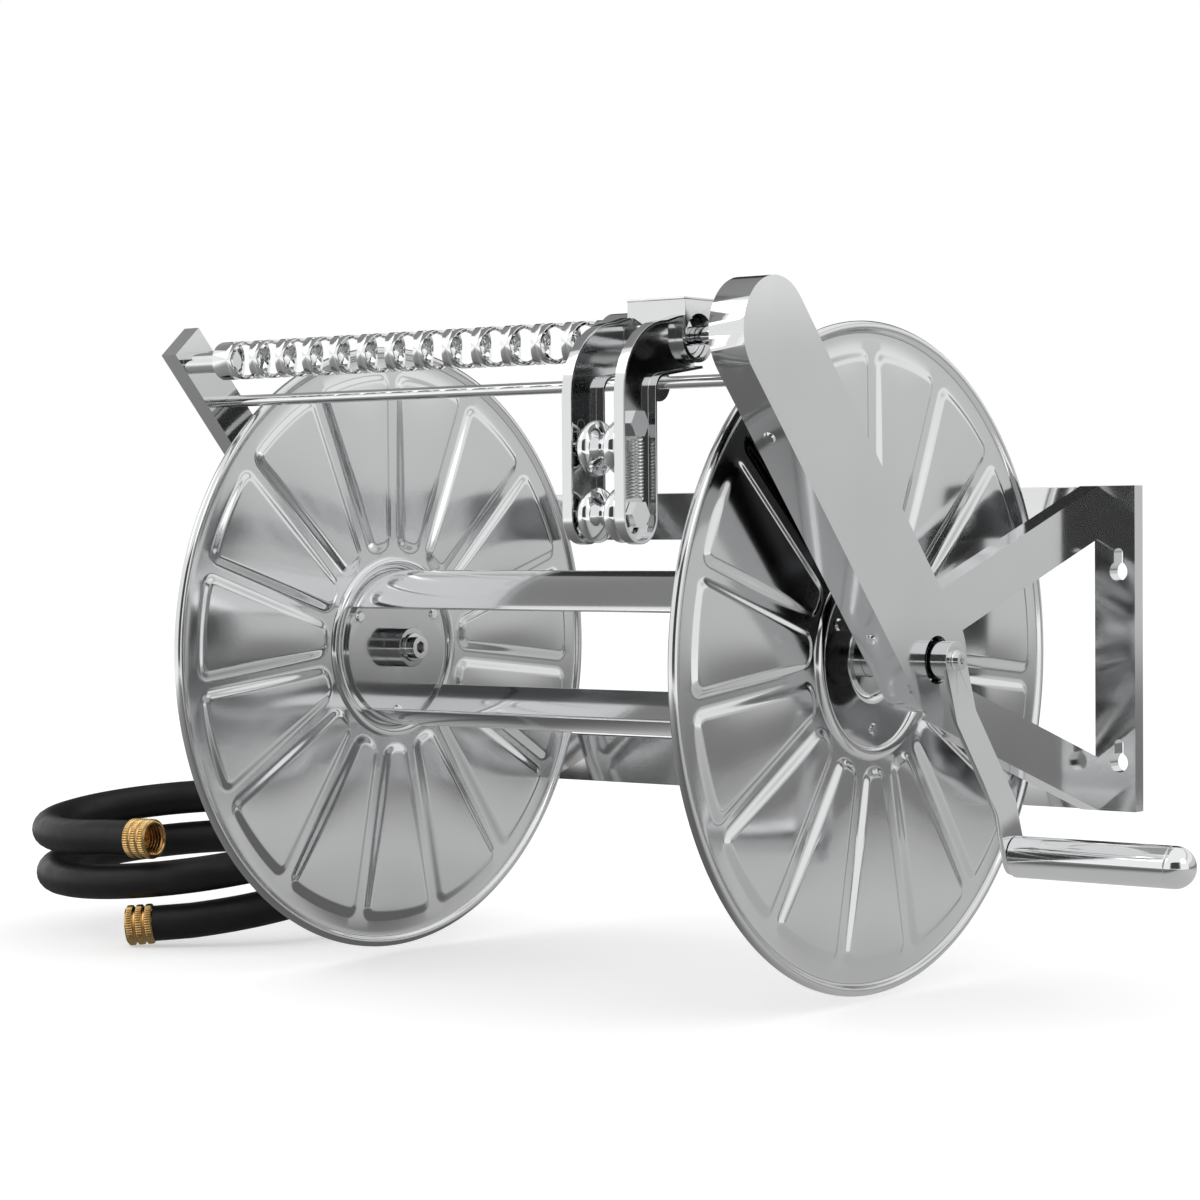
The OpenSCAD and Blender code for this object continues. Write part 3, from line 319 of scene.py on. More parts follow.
def add_node(tree, kind, inputs=(), **settings):
    """A new node with its settings, and its inputs as values or links"""
    new = tree.nodes.new(kind)
    for key, value in settings.items():
        setattr(new, key, value)
    for key, value in dict(inputs).items():
        if isinstance(value, bpy.types.NodeSocket):
            tree.links.new(value, new.inputs[key])
        else:
            new.inputs[key].default_value = value
    return new


def new_material(name):
    """An empty node material and its surface shader"""
    material = bpy.data.materials.new(name)
    material.use_nodes = True
    tree = material.node_tree
    shader = tree.nodes["Principled BSDF"]
    return material, tree, shader


def noise_value(tree, scale, detail=3.0, stretch=(1.0, 1.0, 1.0)):
    """Noise over the piece's own space, stretched along its axes"""
    place = add_node(tree, "ShaderNodeTexCoord")
    mapped = add_node(tree, "ShaderNodeMapping", {"Vector": place.outputs["Object"], "Scale": stretch})
    noise = add_node(tree, "ShaderNodeTexNoise", {
        "Vector": mapped.outputs["Vector"], "Scale": scale, "Detail": detail})
    return noise.outputs["Fac"]


def ranged(tree, value, low, high, start=0.3, end=0.7):
    """A noise value moved into the range from low to high"""
    mapped = add_node(tree, "ShaderNodeMapRange", {
        "Value": value, "From Min": start, "From Max": end, "To Min": low, "To Max": high})
    return mapped.outputs["Result"]


def blended(tree, factor, first, second):
    """A colour between two colours"""
    mix = add_node(tree, "ShaderNodeMix", data_type="RGBA")
    tree.links.new(factor, mix.inputs[0])
    mix.inputs[6].default_value = (*first, 1.0)
    mix.inputs[7].default_value = (*second, 1.0)
    return mix.outputs[2]


def scaled(colour, share):
    """A colour made darker or lighter by a share"""
    return tuple(channel * share for channel in colour)


# Finishes

def polished_steel(name, colour, roughness, wipe=0.02, grain=0.00001, stretch=(1.0, 1.0, 1.0)):
    """Polished steel with faint wipe marks, a fine grain and a slightly uneven tone"""
    material, tree, shader = new_material(name)
    shader.inputs["Metallic"].default_value = 1.0
    tone = blended(tree, ranged(tree, noise_value(tree, 9.0), 0.0, 1.0), scaled(colour, 0.93), colour)
    tree.links.new(tone, shader.inputs["Base Color"])
    wiped = noise_value(tree, 22.0, 5.0, stretch)
    tree.links.new(ranged(tree, wiped, roughness - wipe * 0.5, roughness + wipe), shader.inputs["Roughness"])
    fine = noise_value(tree, 650.0, 2.0, stretch)
    bump = add_node(tree, "ShaderNodeBump", {"Height": fine, "Strength": 0.35, "Distance": grain})
    tree.links.new(bump.outputs["Normal"], shader.inputs["Normal"])
    return material


def brass_metal(name, colour):
    """Warm brass under a thin clear coat, with a slightly uneven tone"""
    material, tree, shader = new_material(name)
    shader.inputs["Metallic"].default_value = 1.0
    tone = blended(tree, ranged(tree, noise_value(tree, 60.0), 0.0, 1.0), scaled(colour, 0.82), colour)
    tree.links.new(tone, shader.inputs["Base Color"])
    tree.links.new(ranged(tree, noise_value(tree, 240.0), 0.16, 0.28), shader.inputs["Roughness"])
    shader.inputs["Coat Weight"].default_value = 0.15
    return material


def hose_rubber(name, colour):
    """Black rubber hose with a satin skin and a faint moulded grain"""
    material, tree, shader = new_material(name)
    tone = blended(tree, ranged(tree, noise_value(tree, 35.0), 0.0, 1.0), colour, scaled(colour, 1.7))
    tree.links.new(tone, shader.inputs["Base Color"])
    tree.links.new(ranged(tree, noise_value(tree, 120.0), 0.40, 0.52), shader.inputs["Roughness"])
    bump = add_node(tree, "ShaderNodeBump", {
        "Height": noise_value(tree, 900.0, 2.0), "Strength": 0.5, "Distance": 0.00006})
    tree.links.new(bump.outputs["Normal"], shader.inputs["Normal"])
    shader.inputs["Specular IOR Level"].default_value = 0.28
    return material


def moulded_plastic(name, colour, roughness):
    """Plain moulded plastic or seal rubber with a fine grain"""
    material, tree, shader = new_material(name)
    tone = blended(tree, ranged(tree, noise_value(tree, 50.0), 0.0, 1.0), colour, scaled(colour, 1.5))
    tree.links.new(tone, shader.inputs["Base Color"])
    tree.links.new(ranged(tree, noise_value(tree, 300.0), roughness - 0.05, roughness + 0.08),
                   shader.inputs["Roughness"])
    bump = add_node(tree, "ShaderNodeBump", {
        "Height": noise_value(tree, 1200.0, 2.0), "Strength": 0.4, "Distance": 0.00003})
    tree.links.new(bump.outputs["Normal"], shader.inputs["Normal"])
    return material


def finish_for(slot):
    """The finish of a material slot, or of a piece that looks different from its slot, made once"""
    name = "finish_" + slot
    if name in bpy.data.materials:
        return bpy.data.materials[name]
    look = bpy.context.scene.reel_finish
    hose = bpy.context.scene.reel_hose
    makers = {
        "stainless": lambda: polished_steel(name, look.steel, 0.10, 0.025),
        "disc_steel": lambda: polished_steel(name, look.steel, 0.12, 0.025),
        "chrome_trim": lambda: polished_steel(name, look.chrome, 0.06, 0.02),
        "dark_steel": lambda: polished_steel(name, look.hub_steel, 0.11, 0.03),
        # Painted shade: the chain case's inner lid is near-black so the disc mirrors a shaded case
        "case_painted_shade": lambda: polished_steel(name, look.painted_lid_shade, 0.16, 0.04),
        "brass": lambda: brass_metal(name, hose.brass),
        "bush_plastic": lambda: moulded_plastic(name, look.plastic, 0.42),
        "seal_rubber": lambda: moulded_plastic(name, scaled(look.plastic, 0.7), 0.62),
        "hose_rubber": lambda: hose_rubber(name, hose.rubber),
    }
    return makers[slot]()


# Stage

def seen_directly(tree):
    """1 where a surface is seen, mirrored or seen through glass, and 0 where it only gives light"""
    path = add_node(tree, "ShaderNodeLightPath")
    seen = add_node(tree, "ShaderNodeMath", operation="ADD", use_clamp=True)
    tree.links.new(path.outputs["Is Camera Ray"], seen.inputs[0])
    tree.links.new(path.outputs["Is Glossy Ray"], seen.inputs[1])
    through = add_node(tree, "ShaderNodeMath", operation="ADD", use_clamp=True)
    tree.links.new(seen.outputs[0], through.inputs[0])
    tree.links.new(path.outputs["Is Transmission Ray"], through.inputs[1])
    return through.outputs[0]


def white_world():
    """A white surround: full white where it is seen or mirrored, a little softer as light"""
    world = bpy.data.worlds.new("studio")
    bpy.context.scene.world = world
    world.use_nodes = True
    tree = world.node_tree
    back = tree.nodes["Background"]
    back.inputs["Color"].default_value = (1.0, 1.0, 1.0, 1.0)
    strength = add_node(tree, "ShaderNodeMapRange", {
        "Value": seen_directly(tree), "To Min": 0.8, "To Max": 1.0})
    tree.links.new(strength.outputs["Result"], back.inputs["Strength"])


def floor_material(colour):
    """Pale floor that shows as white where it isn't in shadow, and lets a view from below through"""
    material, tree, shader = new_material("floor_pale")
    shader.inputs["Base Color"].default_value = (*colour, 1.0)
    shader.inputs["Roughness"].default_value = 0.9
    shader.inputs["Specular IOR Level"].default_value = 0.0
    glow = add_node(tree, "ShaderNodeMapRange", {
        "Value": seen_directly(tree), "To Min": 0.0, "To Max": 0.42})
    shader.inputs["Emission Color"].default_value = (1.0, 1.0, 1.0, 1.0)
    tree.links.new(glow.outputs["Result"], shader.inputs["Emission Strength"])
    clear = add_node(tree, "ShaderNodeBsdfTransparent")
    side = add_node(tree, "ShaderNodeNewGeometry")
    mix = add_node(tree, "ShaderNodeMixShader", {0: side.outputs["Backfacing"]})
    tree.links.new(shader.outputs[0], mix.inputs[1])
    tree.links.new(clear.outputs[0], mix.inputs[2])
    tree.links.new(mix.outputs[0], tree.nodes["Material Output"].inputs["Surface"])
    return material


def grey_ramp(tree, value, stops):
    """A grey level that follows the stops, each a place from 0 to 1 with its level"""
    ramp = add_node(tree, "ShaderNodeValToRGB", {"Fac": value})
    ramp.color_ramp.interpolation = "EASE"
    points = ramp.color_ramp.elements
    for place, level in stops[1:-1]:
        points.new(place)
    for point, (place, level) in zip(points, stops):
        point.position = place
        point.color = (level, level, level, 1.0)
    return ramp.outputs["Color"]


def card_material(name, across, up):
    """A glowing card whose level is one ramp across it times another up it"""
    material = bpy.data.materials.new(name)
    material.use_nodes = True
    tree = material.node_tree
    tree.nodes.clear()
    place = add_node(tree, "ShaderNodeTexCoord")
    split = add_node(tree, "ShaderNodeSeparateXYZ", {"Vector": place.outputs["Generated"]})
    level = add_node(tree, "ShaderNodeMath", operation="MULTIPLY")
    tree.links.new(grey_ramp(tree, split.outputs["X"], across), level.inputs[0])
    tree.links.new(grey_ramp(tree, split.outputs["Y"], up), level.inputs[1])
    glow = add_node(tree, "ShaderNodeEmission", {"Strength": level.outputs[0]})
    add_node(tree, "ShaderNodeOutputMaterial", {"Surface": glow.outputs[0]})
    return material


def grey_card(name, place, turn, width, height, across, up):
    """A card that only the steel's reflections see, at a place from the drum's axis"""
    half_w, half_h = width / 2, height / 2
    corners = [(-half_w, -half_h, 0), (half_w, -half_h, 0), (half_w, half_h, 0), (-half_w, half_h, 0)]
    card = mesh_piece(name, corners, [(0, 1, 2, 3)])
    card.data.materials.append(card_material(name + "_grey", across, up))
    card.location = DRUM_AXIS + Vector(place)
    card.rotation_euler = turn
    card.visible_camera = False
    card.visible_diffuse = False
    card.visible_shadow = False
    return card


def standing_card(name, toward, distance, low, high, width, across, up):
    """An upright card in a level direction from the drum's axis"""
    x, y = Vector(toward).normalized()
    place = (x * distance, y * distance, (low + high) / 2)
    turn = (math.pi / 2, 0, math.atan2(-x, y))
    return grey_card(name, place, turn, width, high - low, across, up)


def soft_lamp(name, place, size, power):
    """A square lamp that looks at the drum"""
    light = bpy.data.lights.new(name, "AREA")
    light.shape = "SQUARE"
    light.size = size
    light.energy = power
    lamp = bpy.data.objects.new(name, light)
    bpy.context.scene.collection.objects.link(lamp)
    lamp.location = place
    lamp.rotation_euler = (DRUM_AXIS - Vector(place)).to_track_quat("-Z", "Y").to_euler()
    return lamp


class REEL_OT_stage(bpy.types.Operator):
    """Makes the camera, the white surround, the floor, the lamps and the cards"""
    bl_idname = "reel.stage"
    bl_label = "Stage"

    def execute(self, context):
        values = context.scene.reel_stage
        camera = bpy.data.objects.new("camera", bpy.data.cameras.new("camera"))
        context.scene.collection.objects.link(camera)
        context.scene.camera = camera
        turn = (Matrix.Rotation(values.camera_yaw, 3, "Z")
                @ Matrix.Rotation(math.pi / 2 - values.camera_pitch, 3, "X")
                @ Matrix.Rotation(values.camera_roll, 3, "Z"))
        camera.location = DRUM_AXIS + Vector(values.camera_place)
        camera.rotation_euler = turn.to_euler()
        camera.data.sensor_width = 36.0
        camera.data.lens = values.lens
        camera.data.shift_x = values.shift
        camera.data.clip_end = 200.0

        white_world()
        under_part = 0.0005
        floor_z = CAD_BOX[0][2] - under_part
        reach = 30.0
        floor = mesh_piece("floor", [
            (-reach, -reach, floor_z), (reach, -reach, floor_z),
            (reach, reach, floor_z), (-reach, reach, floor_z)], [(0, 1, 2, 3)])
        floor.data.materials.append(floor_material(values.floor_colour))

        soft_lamp("lamp_key", (-1.6, -2.2, 2.2), 1.4, values.lamp_power)
        soft_lamp("lamp_side", (2.6, -0.6, 1.6), 1.2, values.lamp_power * 0.5)
        self.cards(floor_z)
        return {"FINISHED"}

    def cards(self, floor_z):
        """The cards that give the steel its light and dark bands, each level going up or across"""
        aside, back = 0.565, 0.825
        foot = -0.19
        even = ((0.0, 1.0), (1.0, 1.0))
        standing_card("card_back_right", (aside, back), 1.3, foot, 1.01, 2.4, even, (
            (0.0, 0.20), (0.07, 0.24), (0.15, 0.62), (0.36, 0.66), (0.42, 0.95), (0.7, 0.95), (1.0, 0.5)))
        standing_card("card_camera", (aside, -back), 2.3, foot, 1.3, 2.4, (
            (0.0, 0.5), (0.2, 0.06), (0.8, 0.06), (1.0, 0.5)), even)
        lying = (0.0, 0.0, math.atan2(-aside, back))
        over_floor = 0.0003
        low_z = floor_z + over_floor - DRUM_AXIS.z
        # Painted shade: this card is darkest under the reel, so the steel mirrors a shaded floor there
        grey_card("card_floor", (0.0, 0.0, low_z), lying, 2.6, 2.6, even, (
            (0.0, 0.9), (0.25, 0.3), (0.48, 0.14), (0.54, 0.5), (0.7, 0.6), (0.9, 0.5), (1.0, 0.22)))
        grey_card("card_top_left", (-0.9, 0.32, 1.2), (0.0, math.radians(-37), 0.0), 1.5, 1.6, (
            (0.0, 0.5), (0.5, 0.26), (1.0, 0.4)), even)
        standing_card("card_back_left", (-aside, back), 1.5, foot, 1.3, 2.0, (
            (0.0, 0.5), (0.15, 0.04), (0.8, 0.03), (1.0, 0.3)), even)


# Leader hose

def coil_frame(values):
    """Place and lean of the hose's coil"""
    return Matrix.Translation(DRUM_AXIS + Vector(values.centre)) @ Matrix.Rotation(values.lean, 4, "X")


def hose_route(values):
    """The hose's middle line: a straight end, the loops and another straight end"""
    steps = 276
    loops = []
    for step in range(steps + 1):
        wound = values.turn * step / steps
        angle = values.start - wound
        loops.append(Vector((
            values.loop_r * math.cos(angle), values.loop_r * math.sin(angle),
            -values.pitch * wound / (2 * math.pi))))
    last = values.start - values.turn
    before = -Vector((math.sin(values.start), -math.cos(values.start), 0))
    after = Vector((math.sin(last), -math.cos(last), 0))
    points = [loops[0] + before * values.outer_d] + loops + [loops[-1] + after * values.outer_d]
    place = coil_frame(values)
    return [place @ point for point in points], (place.to_3x3() @ before, place.to_3x3() @ after)


def fitting_mesh(values):
    """Radius and place along the axis of each ring of a fitting, with how much it is knurled"""
    outer = values.fitting_d / 2
    length = values.fitting_len
    band = length / 3
    groove = 0.0009
    rings = [(0.0090, 0.0, 0.0), (outer - 0.0022, 0.0, 0.0)]
    for index in range(3):
        low = index * band
        rings += [
            (outer - 0.0014, low + groove * 0.4, 0.0), (outer - 0.0012, low + groove * 0.8, 0.0),
            (outer - 0.0002, low + groove * 1.3, 0.6), (outer, low + groove * 1.9, 1.0),
            (outer, low + band - groove * 1.9, 1.0), (outer - 0.0002, low + band - groove * 1.3, 0.6),
            (outer - 0.0012, low + band - groove * 0.8, 0.0),
            (outer - 0.0014, low + band - groove * 0.4, 0.0),
        ]
    mouth = outer - 0.0026
    rings += [(outer - 0.0018, length, 0.0), (mouth, length, 0.0), (mouth - 0.0004, length - 0.0006, 0.0)]
    threads = 5
    for index in range(threads):
        z = length - 0.0012 - index * 0.0024
        rings += [(mouth, z, 0.0), (mouth, z - 0.0007, 0.0), (mouth - 0.0010, z - 0.0012, 0.0),
                  (mouth - 0.0010, z - 0.0017, 0.0)]
    rings += [(mouth - 0.0010, 0.0030, 0.0), (0.0, 0.0030, 0.0)]
    return rings


def turned_faces(count, sides):
    """Faces between rings of corners, each ring with the same number of sides"""
    return [
        (ring * sides + side, ring * sides + (side + 1) % sides,
         (ring + 1) * sides + (side + 1) % sides, (ring + 1) * sides + side)
        for ring in range(count - 1) for side in range(sides)]


class REEL_OT_leader_hose(bpy.types.Operator):
    """Makes the loose leader hose with its two brass fittings"""
    bl_idname = "reel.leader_hose"
    bl_label = "Leader Hose"

    def execute(self, context):
        values = context.scene.reel_hose
        route, ends = hose_route(values)
        hose = curve_piece("hose_tube", [route], values.outer_d / 2, 9)
        finish_piece(hose, "frame", finish_for("hose_rubber"))
        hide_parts("leader_hose")
        for name, node, point, toward in (
                ("fitting_inlet_end", "hose_fitting_inlet", route[0], ends[0]),
                ("fitting_outlet_end", "hose_fitting_outlet", route[-1], ends[1])):
            self.fitting(values, name, node, point, toward)
        return {"FINISHED"}

    def fitting(self, values, name, node, point, toward):
        """One knurled brass fitting with a threaded mouth, its foot on the hose's end"""
        sides = values.knurls * 6
        rings = fitting_mesh(values)
        verts = []
        for radius, along, knurl in rings:
            for side in range(sides):
                angle = 2 * math.pi * side / sides
                ridge = 0.5 - 0.5 * math.cos(values.knurls * angle)
                r = max(radius - knurl * 0.0006 * ridge ** 2, 0.00001)
                verts.append((r * math.cos(angle), r * math.sin(angle), along))
        faces = turned_faces(len(rings), sides)
        faces.append(tuple(reversed(range(sides))))
        faces.append(tuple(range((len(rings) - 1) * sides, len(rings) * sides)))
        fitting = mesh_piece(name, verts, faces, 50.0)
        merge_corners(fitting, 1e-7)
        place = Matrix.Translation(point) @ toward.to_track_quat("Z", "Y").to_matrix().to_4x4()
        fitting.data.transform(place)
        finish_piece(fitting, "frame", finish_for("brass"))
        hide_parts(node)
        return fitting


# Discs

def smooth_step(share):
    """A share from 0 to 1 that starts and ends level"""
    share = min(max(share, 0.0), 1.0)
    return share * share * (3 - 2 * share)


def panel_height(values, radius, angle, half_sector):
    """Height of the sheet over its flat, at a radius and an angle from the nearest rib"""
    across = radius * math.sin(min(abs(angle), half_sector))
    radial = min(radius - values.panel_in, values.panel_out - radius)
    side = across - values.rib_half
    corner = values.corner_r
    if radial < corner and side < corner:
        inside = corner - math.hypot(corner - radial, corner - side)
    else:
        inside = min(radial, side)
    lift = smooth_step((inside + values.wall_run / 2) / values.wall_run)
    middle = (values.panel_in + values.panel_out) / 2
    reach = (values.panel_out - values.panel_in) / 2
    bow_r = max(0.0, 1 - ((radius - middle) / reach) ** 2)
    bow_a = 1 - (1 - abs(angle) / half_sector) ** 2
    return lift * (values.raise_h + values.crown * bow_r * bow_a)


def disc_radii(values):
    """Radii at which the disc's sheet has corners, close together at its walls"""
    fine = 0.0009
    radii = [values.bore_r + 0.006 * step for step in range(5)]
    radii += [values.hub_bead_r + offset * MM for offset in (-4.0, -3.4, -2.5, -1.3, 0, 1.3, 2.5, 3.4, 4.0)]
    low = values.panel_in - values.wall_run / 2
    high = values.panel_out + values.wall_run / 2
    steps = 18
    radii += [low + fine * step for step in range(steps)]
    start, end = low + fine * steps, high - fine * steps
    wide = 11
    radii += [start + (end - start) * step / wide for step in range(wide)]
    radii += [high - fine * step for step in range(steps, -1, -1)]
    return radii


def disc_lines(values):
    """Distances across a rib at which the sheet has corners, from the rib's middle"""
    low = values.rib_half - values.wall_run / 2
    walls = [low + values.wall_run * step / 8 for step in range(9)]
    return [0.0, low / 2] + walls + [walls[-1] + offset * MM for offset in (0.8, 1.7)]


def disc_mesh(values):
    """Corners and faces of the upper skin of a disc, in its own plane, Z along the drum"""
    sector = 2 * math.pi / values.panels
    half = sector / 2
    lines = disc_lines(values)
    spread = 7
    clamp_r = values.panel_in - values.wall_run / 2

    def line_angles(radius):
        near = [math.asin(w / max(radius, clamp_r)) for w in lines]
        last = near[-1]
        far = [last + (half - last) * (step + 1) / spread for step in range(spread)]
        right = near + far
        return [-a for a in reversed(right[1:])] + right[:-1]

    bead_half, bead_h = 0.004, 0.0026
    verts, rings = [], []
    for radius in disc_radii(values):
        ring = []
        from_bead = (radius - values.hub_bead_r) / bead_half
        bead = bead_h * math.sqrt(max(0.0, 1 - from_bead ** 2)) if abs(from_bead) < 1 else 0.0
        for index in range(values.panels):
            middle = math.pi / 2 + index * sector
            for angle in line_angles(radius):
                z = values.sheet + bead + panel_height(values, radius, angle, half)
                ring.append((radius * math.cos(middle + angle), radius * math.sin(middle + angle), z))
        rings.append(ring)
    rim_r = values.outer_r - values.rim_bead_r
    curl = [
        (rim_r - 7.0 * MM, values.sheet), (rim_r - 4.6 * MM, values.sheet),
        (rim_r - 3.6 * MM, values.sheet * 1.1)]
    curl += [(rim_r + values.rim_bead_r * math.cos(math.radians(a)),
              values.sheet / 2 + values.rim_bead_r * math.sin(math.radians(a)))
             for a in range(150, -171, -20)]
    around = len(rings[0])
    base = rings[-1]
    for radius, z in curl:
        rings.append([(x / math.hypot(x, y) * radius, y / math.hypot(x, y) * radius, z) for x, y, _ in base])
    for ring in rings:
        verts += ring
    faces = turned_faces(len(rings), around)
    return verts, faces


class REEL_OT_discs(bpy.types.Operator):
    """Makes the two pressed side discs with their raised panels and rolled rims"""
    bl_idname = "reel.discs"
    bl_label = "Discs"

    def execute(self, context):
        values = context.scene.reel_disc
        verts, faces = disc_mesh(values)
        stand = Matrix(((0, 0, 1), (1, 0, 0), (0, 1, 0))).to_4x4()
        for name, node in (("pressed_disc_left", "disc_left"), ("pressed_disc_right", "disc_right")):
            low_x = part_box(node)[0][0] + values.rim_bead_r - values.sheet / 2
            place = Matrix.Translation((low_x, DRUM_AXIS.y, DRUM_AXIS.z)) @ stand
            disc = mesh_piece(name, verts, faces, 60.0)
            disc.data.transform(place)
            merge_corners(disc, 1e-6)
            thick = disc.modifiers.new("sheet", "SOLIDIFY")
            thick.thickness = values.sheet
            thick.offset = -1.0
            if disc.data.polygons[len(disc.data.polygons) // 3].normal.x < 0:
                disc.data.flip_normals()
            finish_piece(disc, "drum", finish_for("disc_steel"))
            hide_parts(node)
        return {"FINISHED"}


# Lead screw

def window_outline(quarter, stretch_a, stretch_x, exponent):
    """Points round a window of the lead screw: an angle and a distance along the screw"""
    count = 4 * quarter
    points = []
    for index in range(count):
        phi = 2 * math.pi * index / count
        c, s = math.cos(phi), math.sin(phi)
        power = 2 / exponent
        points.append((
            math.copysign(abs(c) ** power, c) * stretch_a,
            math.copysign(abs(s) ** power, s) * stretch_x))
    return points


class REEL_OT_lead_screw(bpy.types.Operator):
    """Makes the open lead screw, whose two ribbons cross and leave windows between them"""
    bl_idname = "reel.lead_screw"
    bl_label = "Lead Screw"

    def execute(self, context):
        values = context.scene.reel_screw
        quarter = 22
        open_share = 1 - values.ribbon / values.pitch
        bevel = 0.0003
        inner_r = values.outer_r - values.wall
        half_pitch = values.pitch / 2
        cell = window_outline(quarter, math.pi, half_pitch, 1.0)
        window = window_outline(quarter, math.pi * open_share, half_pitch * open_share, values.rounding)
        margin = 1 + 0.035
        wider = [(a * margin, x * margin) for a, x in window]
        loops = [
            (cell, values.outer_r), (wider, values.outer_r), (window, values.outer_r - bevel),
            (window, inner_r + bevel), (wider, inner_r), (cell, inner_r)]
        count = 4 * quarter
        verts, faces = [], []
        start_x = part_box("screw_lattice")[0][0]
        centres = [(math.pi, k * values.pitch) for k in range(1, values.turns)]
        centres += [(0.0, (k + 0.5) * values.pitch) for k in range(values.turns)]
        for centre_a, centre_x in centres:
            base = len(verts)
            for outline, radius in loops:
                for a, x in outline:
                    verts.append((
                        start_x + centre_x + x,
                        SCREW_AXIS.y + radius * math.cos(centre_a + a),
                        SCREW_AXIS.z + radius * math.sin(centre_a + a)))
            faces += [tuple(base + corner for corner in face) for face in turned_faces(len(loops), count)]
        collar = 0.0015
        for end, direction in ((0.0, -1.0), (values.turns * values.pitch, 1.0)):
            base = len(verts)
            edge = sorted((a, x) for a, x in cell if x >= -1e-9)
            for a, x in edge:
                inward = half_pitch - x
                for radius in (values.outer_r, inner_r):
                    y = SCREW_AXIS.y + radius * math.cos(a)
                    z = SCREW_AXIS.z + radius * math.sin(a)
                    verts.append((start_x + end - direction * inward, y, z))
                    verts.append((start_x + end + direction * collar, y, z))
            for index in range(len(edge) - 1):
                near, far = base + 4 * index, base + 4 * (index + 1)
                faces += [
                    (near, near + 1, far + 1, far), (near + 2, near + 3, far + 3, far + 2),
                    (near + 1, near + 3, far + 3, far + 1)]
        lattice = mesh_piece("lead_screw_lattice", verts, faces, 40.0)
        merge_corners(lattice, 2e-6)
        finish_piece(lattice, "lead_screw", finish_for("chrome_trim"))
        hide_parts("screw_lattice")
        return {"FINISHED"}


# Springs

class REEL_OT_springs(bpy.types.Operator):
    """Makes the two wound springs that pull the lower guide roller up"""
    bl_idname = "reel.springs"
    bl_label = "Guide Springs"

    def execute(self, context):
        values = context.scene.reel_spring
        low, high = (Vector(corner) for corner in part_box("tension_springs"))
        wound_r = (values.outer_d - values.wire) / 2
        centre_y = ROLLER_AXIS.y
        left_x, right_x = low.x + values.outer_d / 2, high.x - values.outer_d / 2
        per_turn = 24
        paths = []
        for centre_x in (left_x, right_x):
            bottom, top = low.z + values.wire, high.z - values.wire
            steps = values.turns * per_turn
            path = [Vector((centre_x + wound_r, centre_y, low.z))]
            for step in range(steps + 1):
                angle = 2 * math.pi * step / per_turn
                path.append(Vector((
                    centre_x + wound_r * math.cos(angle), centre_y + wound_r * math.sin(angle),
                    bottom + (top - bottom) * step / steps)))
            path.append(Vector((centre_x + wound_r, centre_y, high.z)))
            paths.append(path)
        springs = wire_mesh(curve_piece("springs_wire", paths, values.wire / 2, 3), "guide_springs")
        springs.data.materials.append(finish_for("chrome_trim"))
        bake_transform(springs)
        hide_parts("tension_springs")
        return {"FINISHED"}


# Guide rollers

def roller_profile(values):
    """Radius and place along the axle of a roller: two rounded ends and a narrow waist"""
    half = values.width / 2
    crest = half - values.shoulder
    waist_steps, end_steps = 12, 9
    side = []
    for step in range(waist_steps + 1):
        share = step / waist_steps
        rise = 0.5 - 0.5 * math.cos(math.pi * share)
        side.append((values.waist_r + (values.end_r - values.waist_r) * rise, crest * share))
    for step in range(1, end_steps + 1):
        angle = math.pi / 2 * step / end_steps
        radius = values.face_r + (values.end_r - values.face_r) * math.cos(angle)
        side.append((radius, crest + values.shoulder * math.sin(angle)))
    side.append((values.bore_r, half))
    return [(radius, -along) for radius, along in reversed(side[1:])] + side


class REEL_OT_rollers(bpy.types.Operator):
    """Makes the two guide rollers with their rounded ends"""
    bl_idname = "reel.rollers"
    bl_label = "Guide Rollers"

    def execute(self, context):
        values = context.scene.reel_roller
        profile = roller_profile(values)
        sides = 64
        for name, node, body in (
                ("guide_roller_upper", "upper_roller", "upper_roller_body"),
                ("guide_roller_lower", "lower_roller", "lower_roller_body")):
            low, high = (Vector(corner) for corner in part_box(node))
            middle = (low + high) / 2
            verts = [
                (middle.x + along, middle.y + radius * math.cos(2 * math.pi * side / sides),
                 middle.z + radius * math.sin(2 * math.pi * side / sides))
                for radius, along in profile for side in range(sides)]
            roller = mesh_piece(name, verts, turned_faces(len(profile), sides), 50.0)
            merge_corners(roller, 1e-7)
            finish_piece(roller, body, finish_for("chrome_trim"))
            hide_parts(node)
        return {"FINISHED"}


# Construction pieces that stay as they are

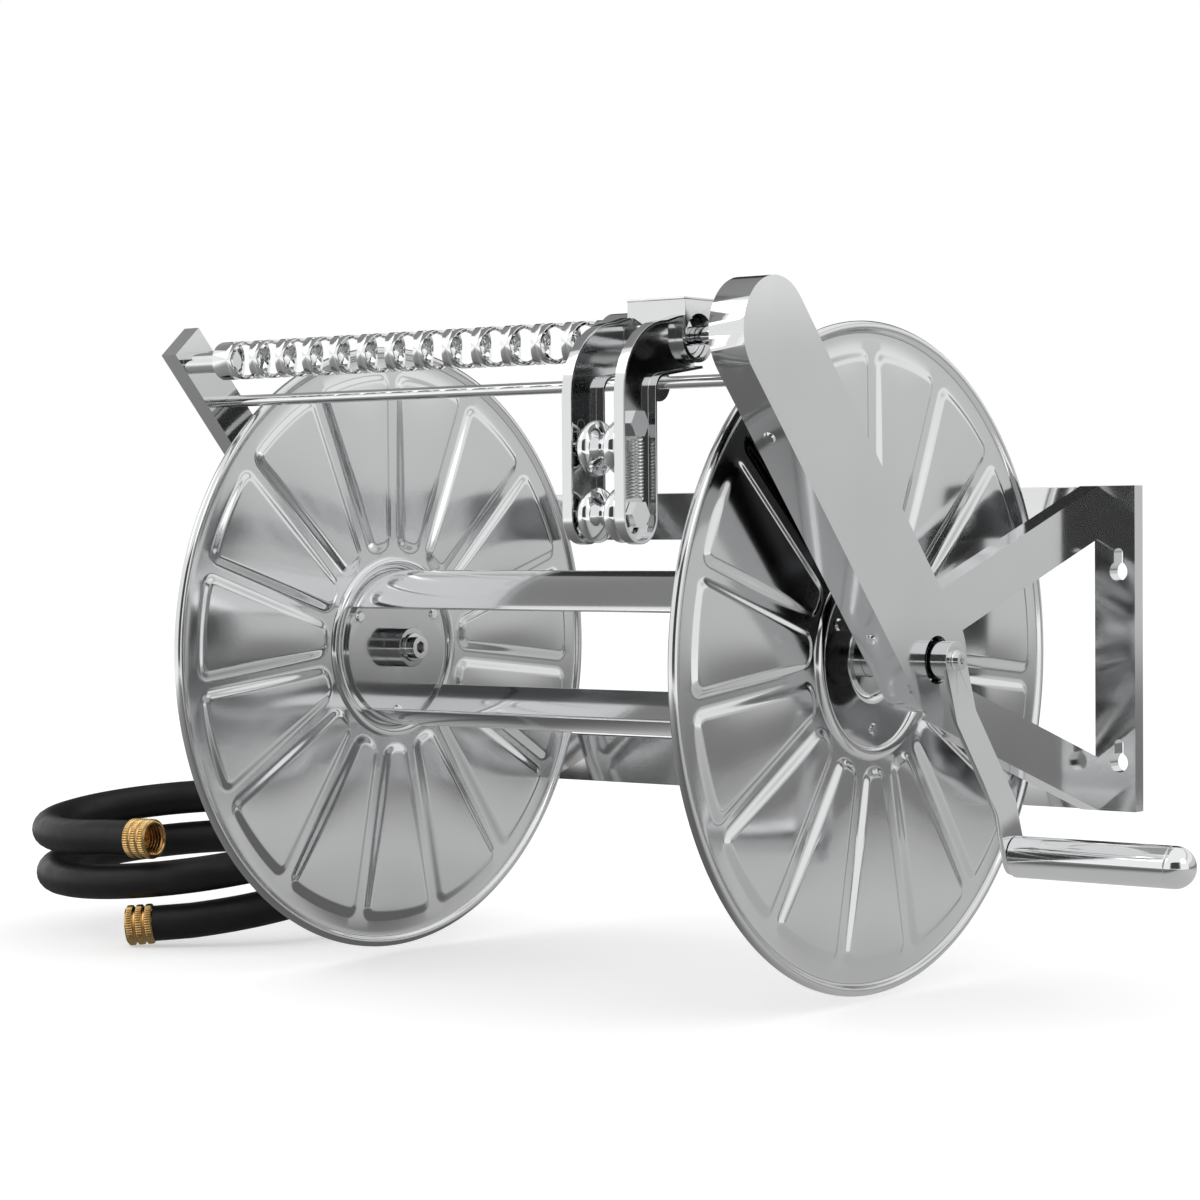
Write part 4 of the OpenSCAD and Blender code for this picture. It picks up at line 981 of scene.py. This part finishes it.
class REEL_OT_finishes(bpy.types.Operator):
    """Gives every construction piece that shows its finish and soft edges"""
    bl_idname = "reel.finishes"
    bl_label = "Finishes"

    def execute(self, context):
        values = context.scene.reel_finish
        for name, piece in frame["nodes"].items():
            material = finish_for(OWN_FINISH.get(name, SLOT_OF[name]))
            if not piece.material_slots:
                piece.data.materials.append(material)
            for slot in piece.material_slots:
                slot.material = material
            if not piece.hide_render:
                self.soften(piece, values.edge)
        return {"FINISHED"}

    def soften(self, piece, width):
        """Joins the piece's faces and rounds its sharp edges a little"""
        weld = piece.modifiers.new("join", "WELD")
        weld.merge_threshold = 0.000002
        bevel = piece.modifiers.new("edge", "BEVEL")
        bevel.width = width
        bevel.segments = 2
        bevel.limit_method = "ANGLE"
        bevel.angle_limit = math.radians(40.0)
        even = piece.modifiers.new("even_shade", "WEIGHTED_NORMAL")
        even.mode = "FACE_AREA_WITH_ANGLE"


class REEL_PT_panel(bpy.types.Panel):
    """The hose reel's sizes and steps"""
    bl_idname = "REEL_PT_panel"
    bl_label = "Hose Reel"
    bl_space_type = "VIEW_3D"
    bl_region_type = "UI"
    bl_category = "Hose Reel"

    def draw(self, context):
        layout = self.layout
        for operator in OPERATORS:
            layout.operator(operator.bl_idname)
        for name, group in SETTINGS:
            box = layout.box()
            box.label(text=group.__doc__)
            values = getattr(context.scene, name)
            for key in group.__annotations__:
                box.prop(values, key)


SETTINGS = (
    ("reel_stage", ReelStageSettings),
    ("reel_hose", ReelHoseSettings),
    ("reel_disc", ReelDiscSettings),
    ("reel_screw", ReelScrewSettings),
    ("reel_spring", ReelSpringSettings),
    ("reel_roller", ReelRollerSettings),
    ("reel_finish", ReelFinishSettings),
)
OPERATORS = (
    REEL_OT_stage, REEL_OT_leader_hose, REEL_OT_discs, REEL_OT_lead_screw, REEL_OT_springs, REEL_OT_rollers,
    REEL_OT_finishes,
)


def register():
    for name, group in SETTINGS:
        bpy.utils.register_class(group)
        setattr(bpy.types.Scene, name, PointerProperty(type=group))
    for operator in OPERATORS:
        bpy.utils.register_class(operator)
    bpy.utils.register_class(REEL_PT_panel)


def unregister():
    bpy.utils.unregister_class(REEL_PT_panel)
    for operator in reversed(OPERATORS):
        bpy.utils.unregister_class(operator)
    for name, group in reversed(SETTINGS):
        delattr(bpy.types.Scene, name)
        bpy.utils.unregister_class(group)


def main():
    register()
    bpy.context.scene.view_settings.view_transform = "Standard"
    bpy.ops.reel.stage()
    bpy.ops.reel.leader_hose()
    bpy.ops.reel.discs()
    bpy.ops.reel.lead_screw()
    bpy.ops.reel.springs()
    bpy.ops.reel.rollers()
    bpy.ops.reel.finishes()


if __name__ == "__main__":
    main()
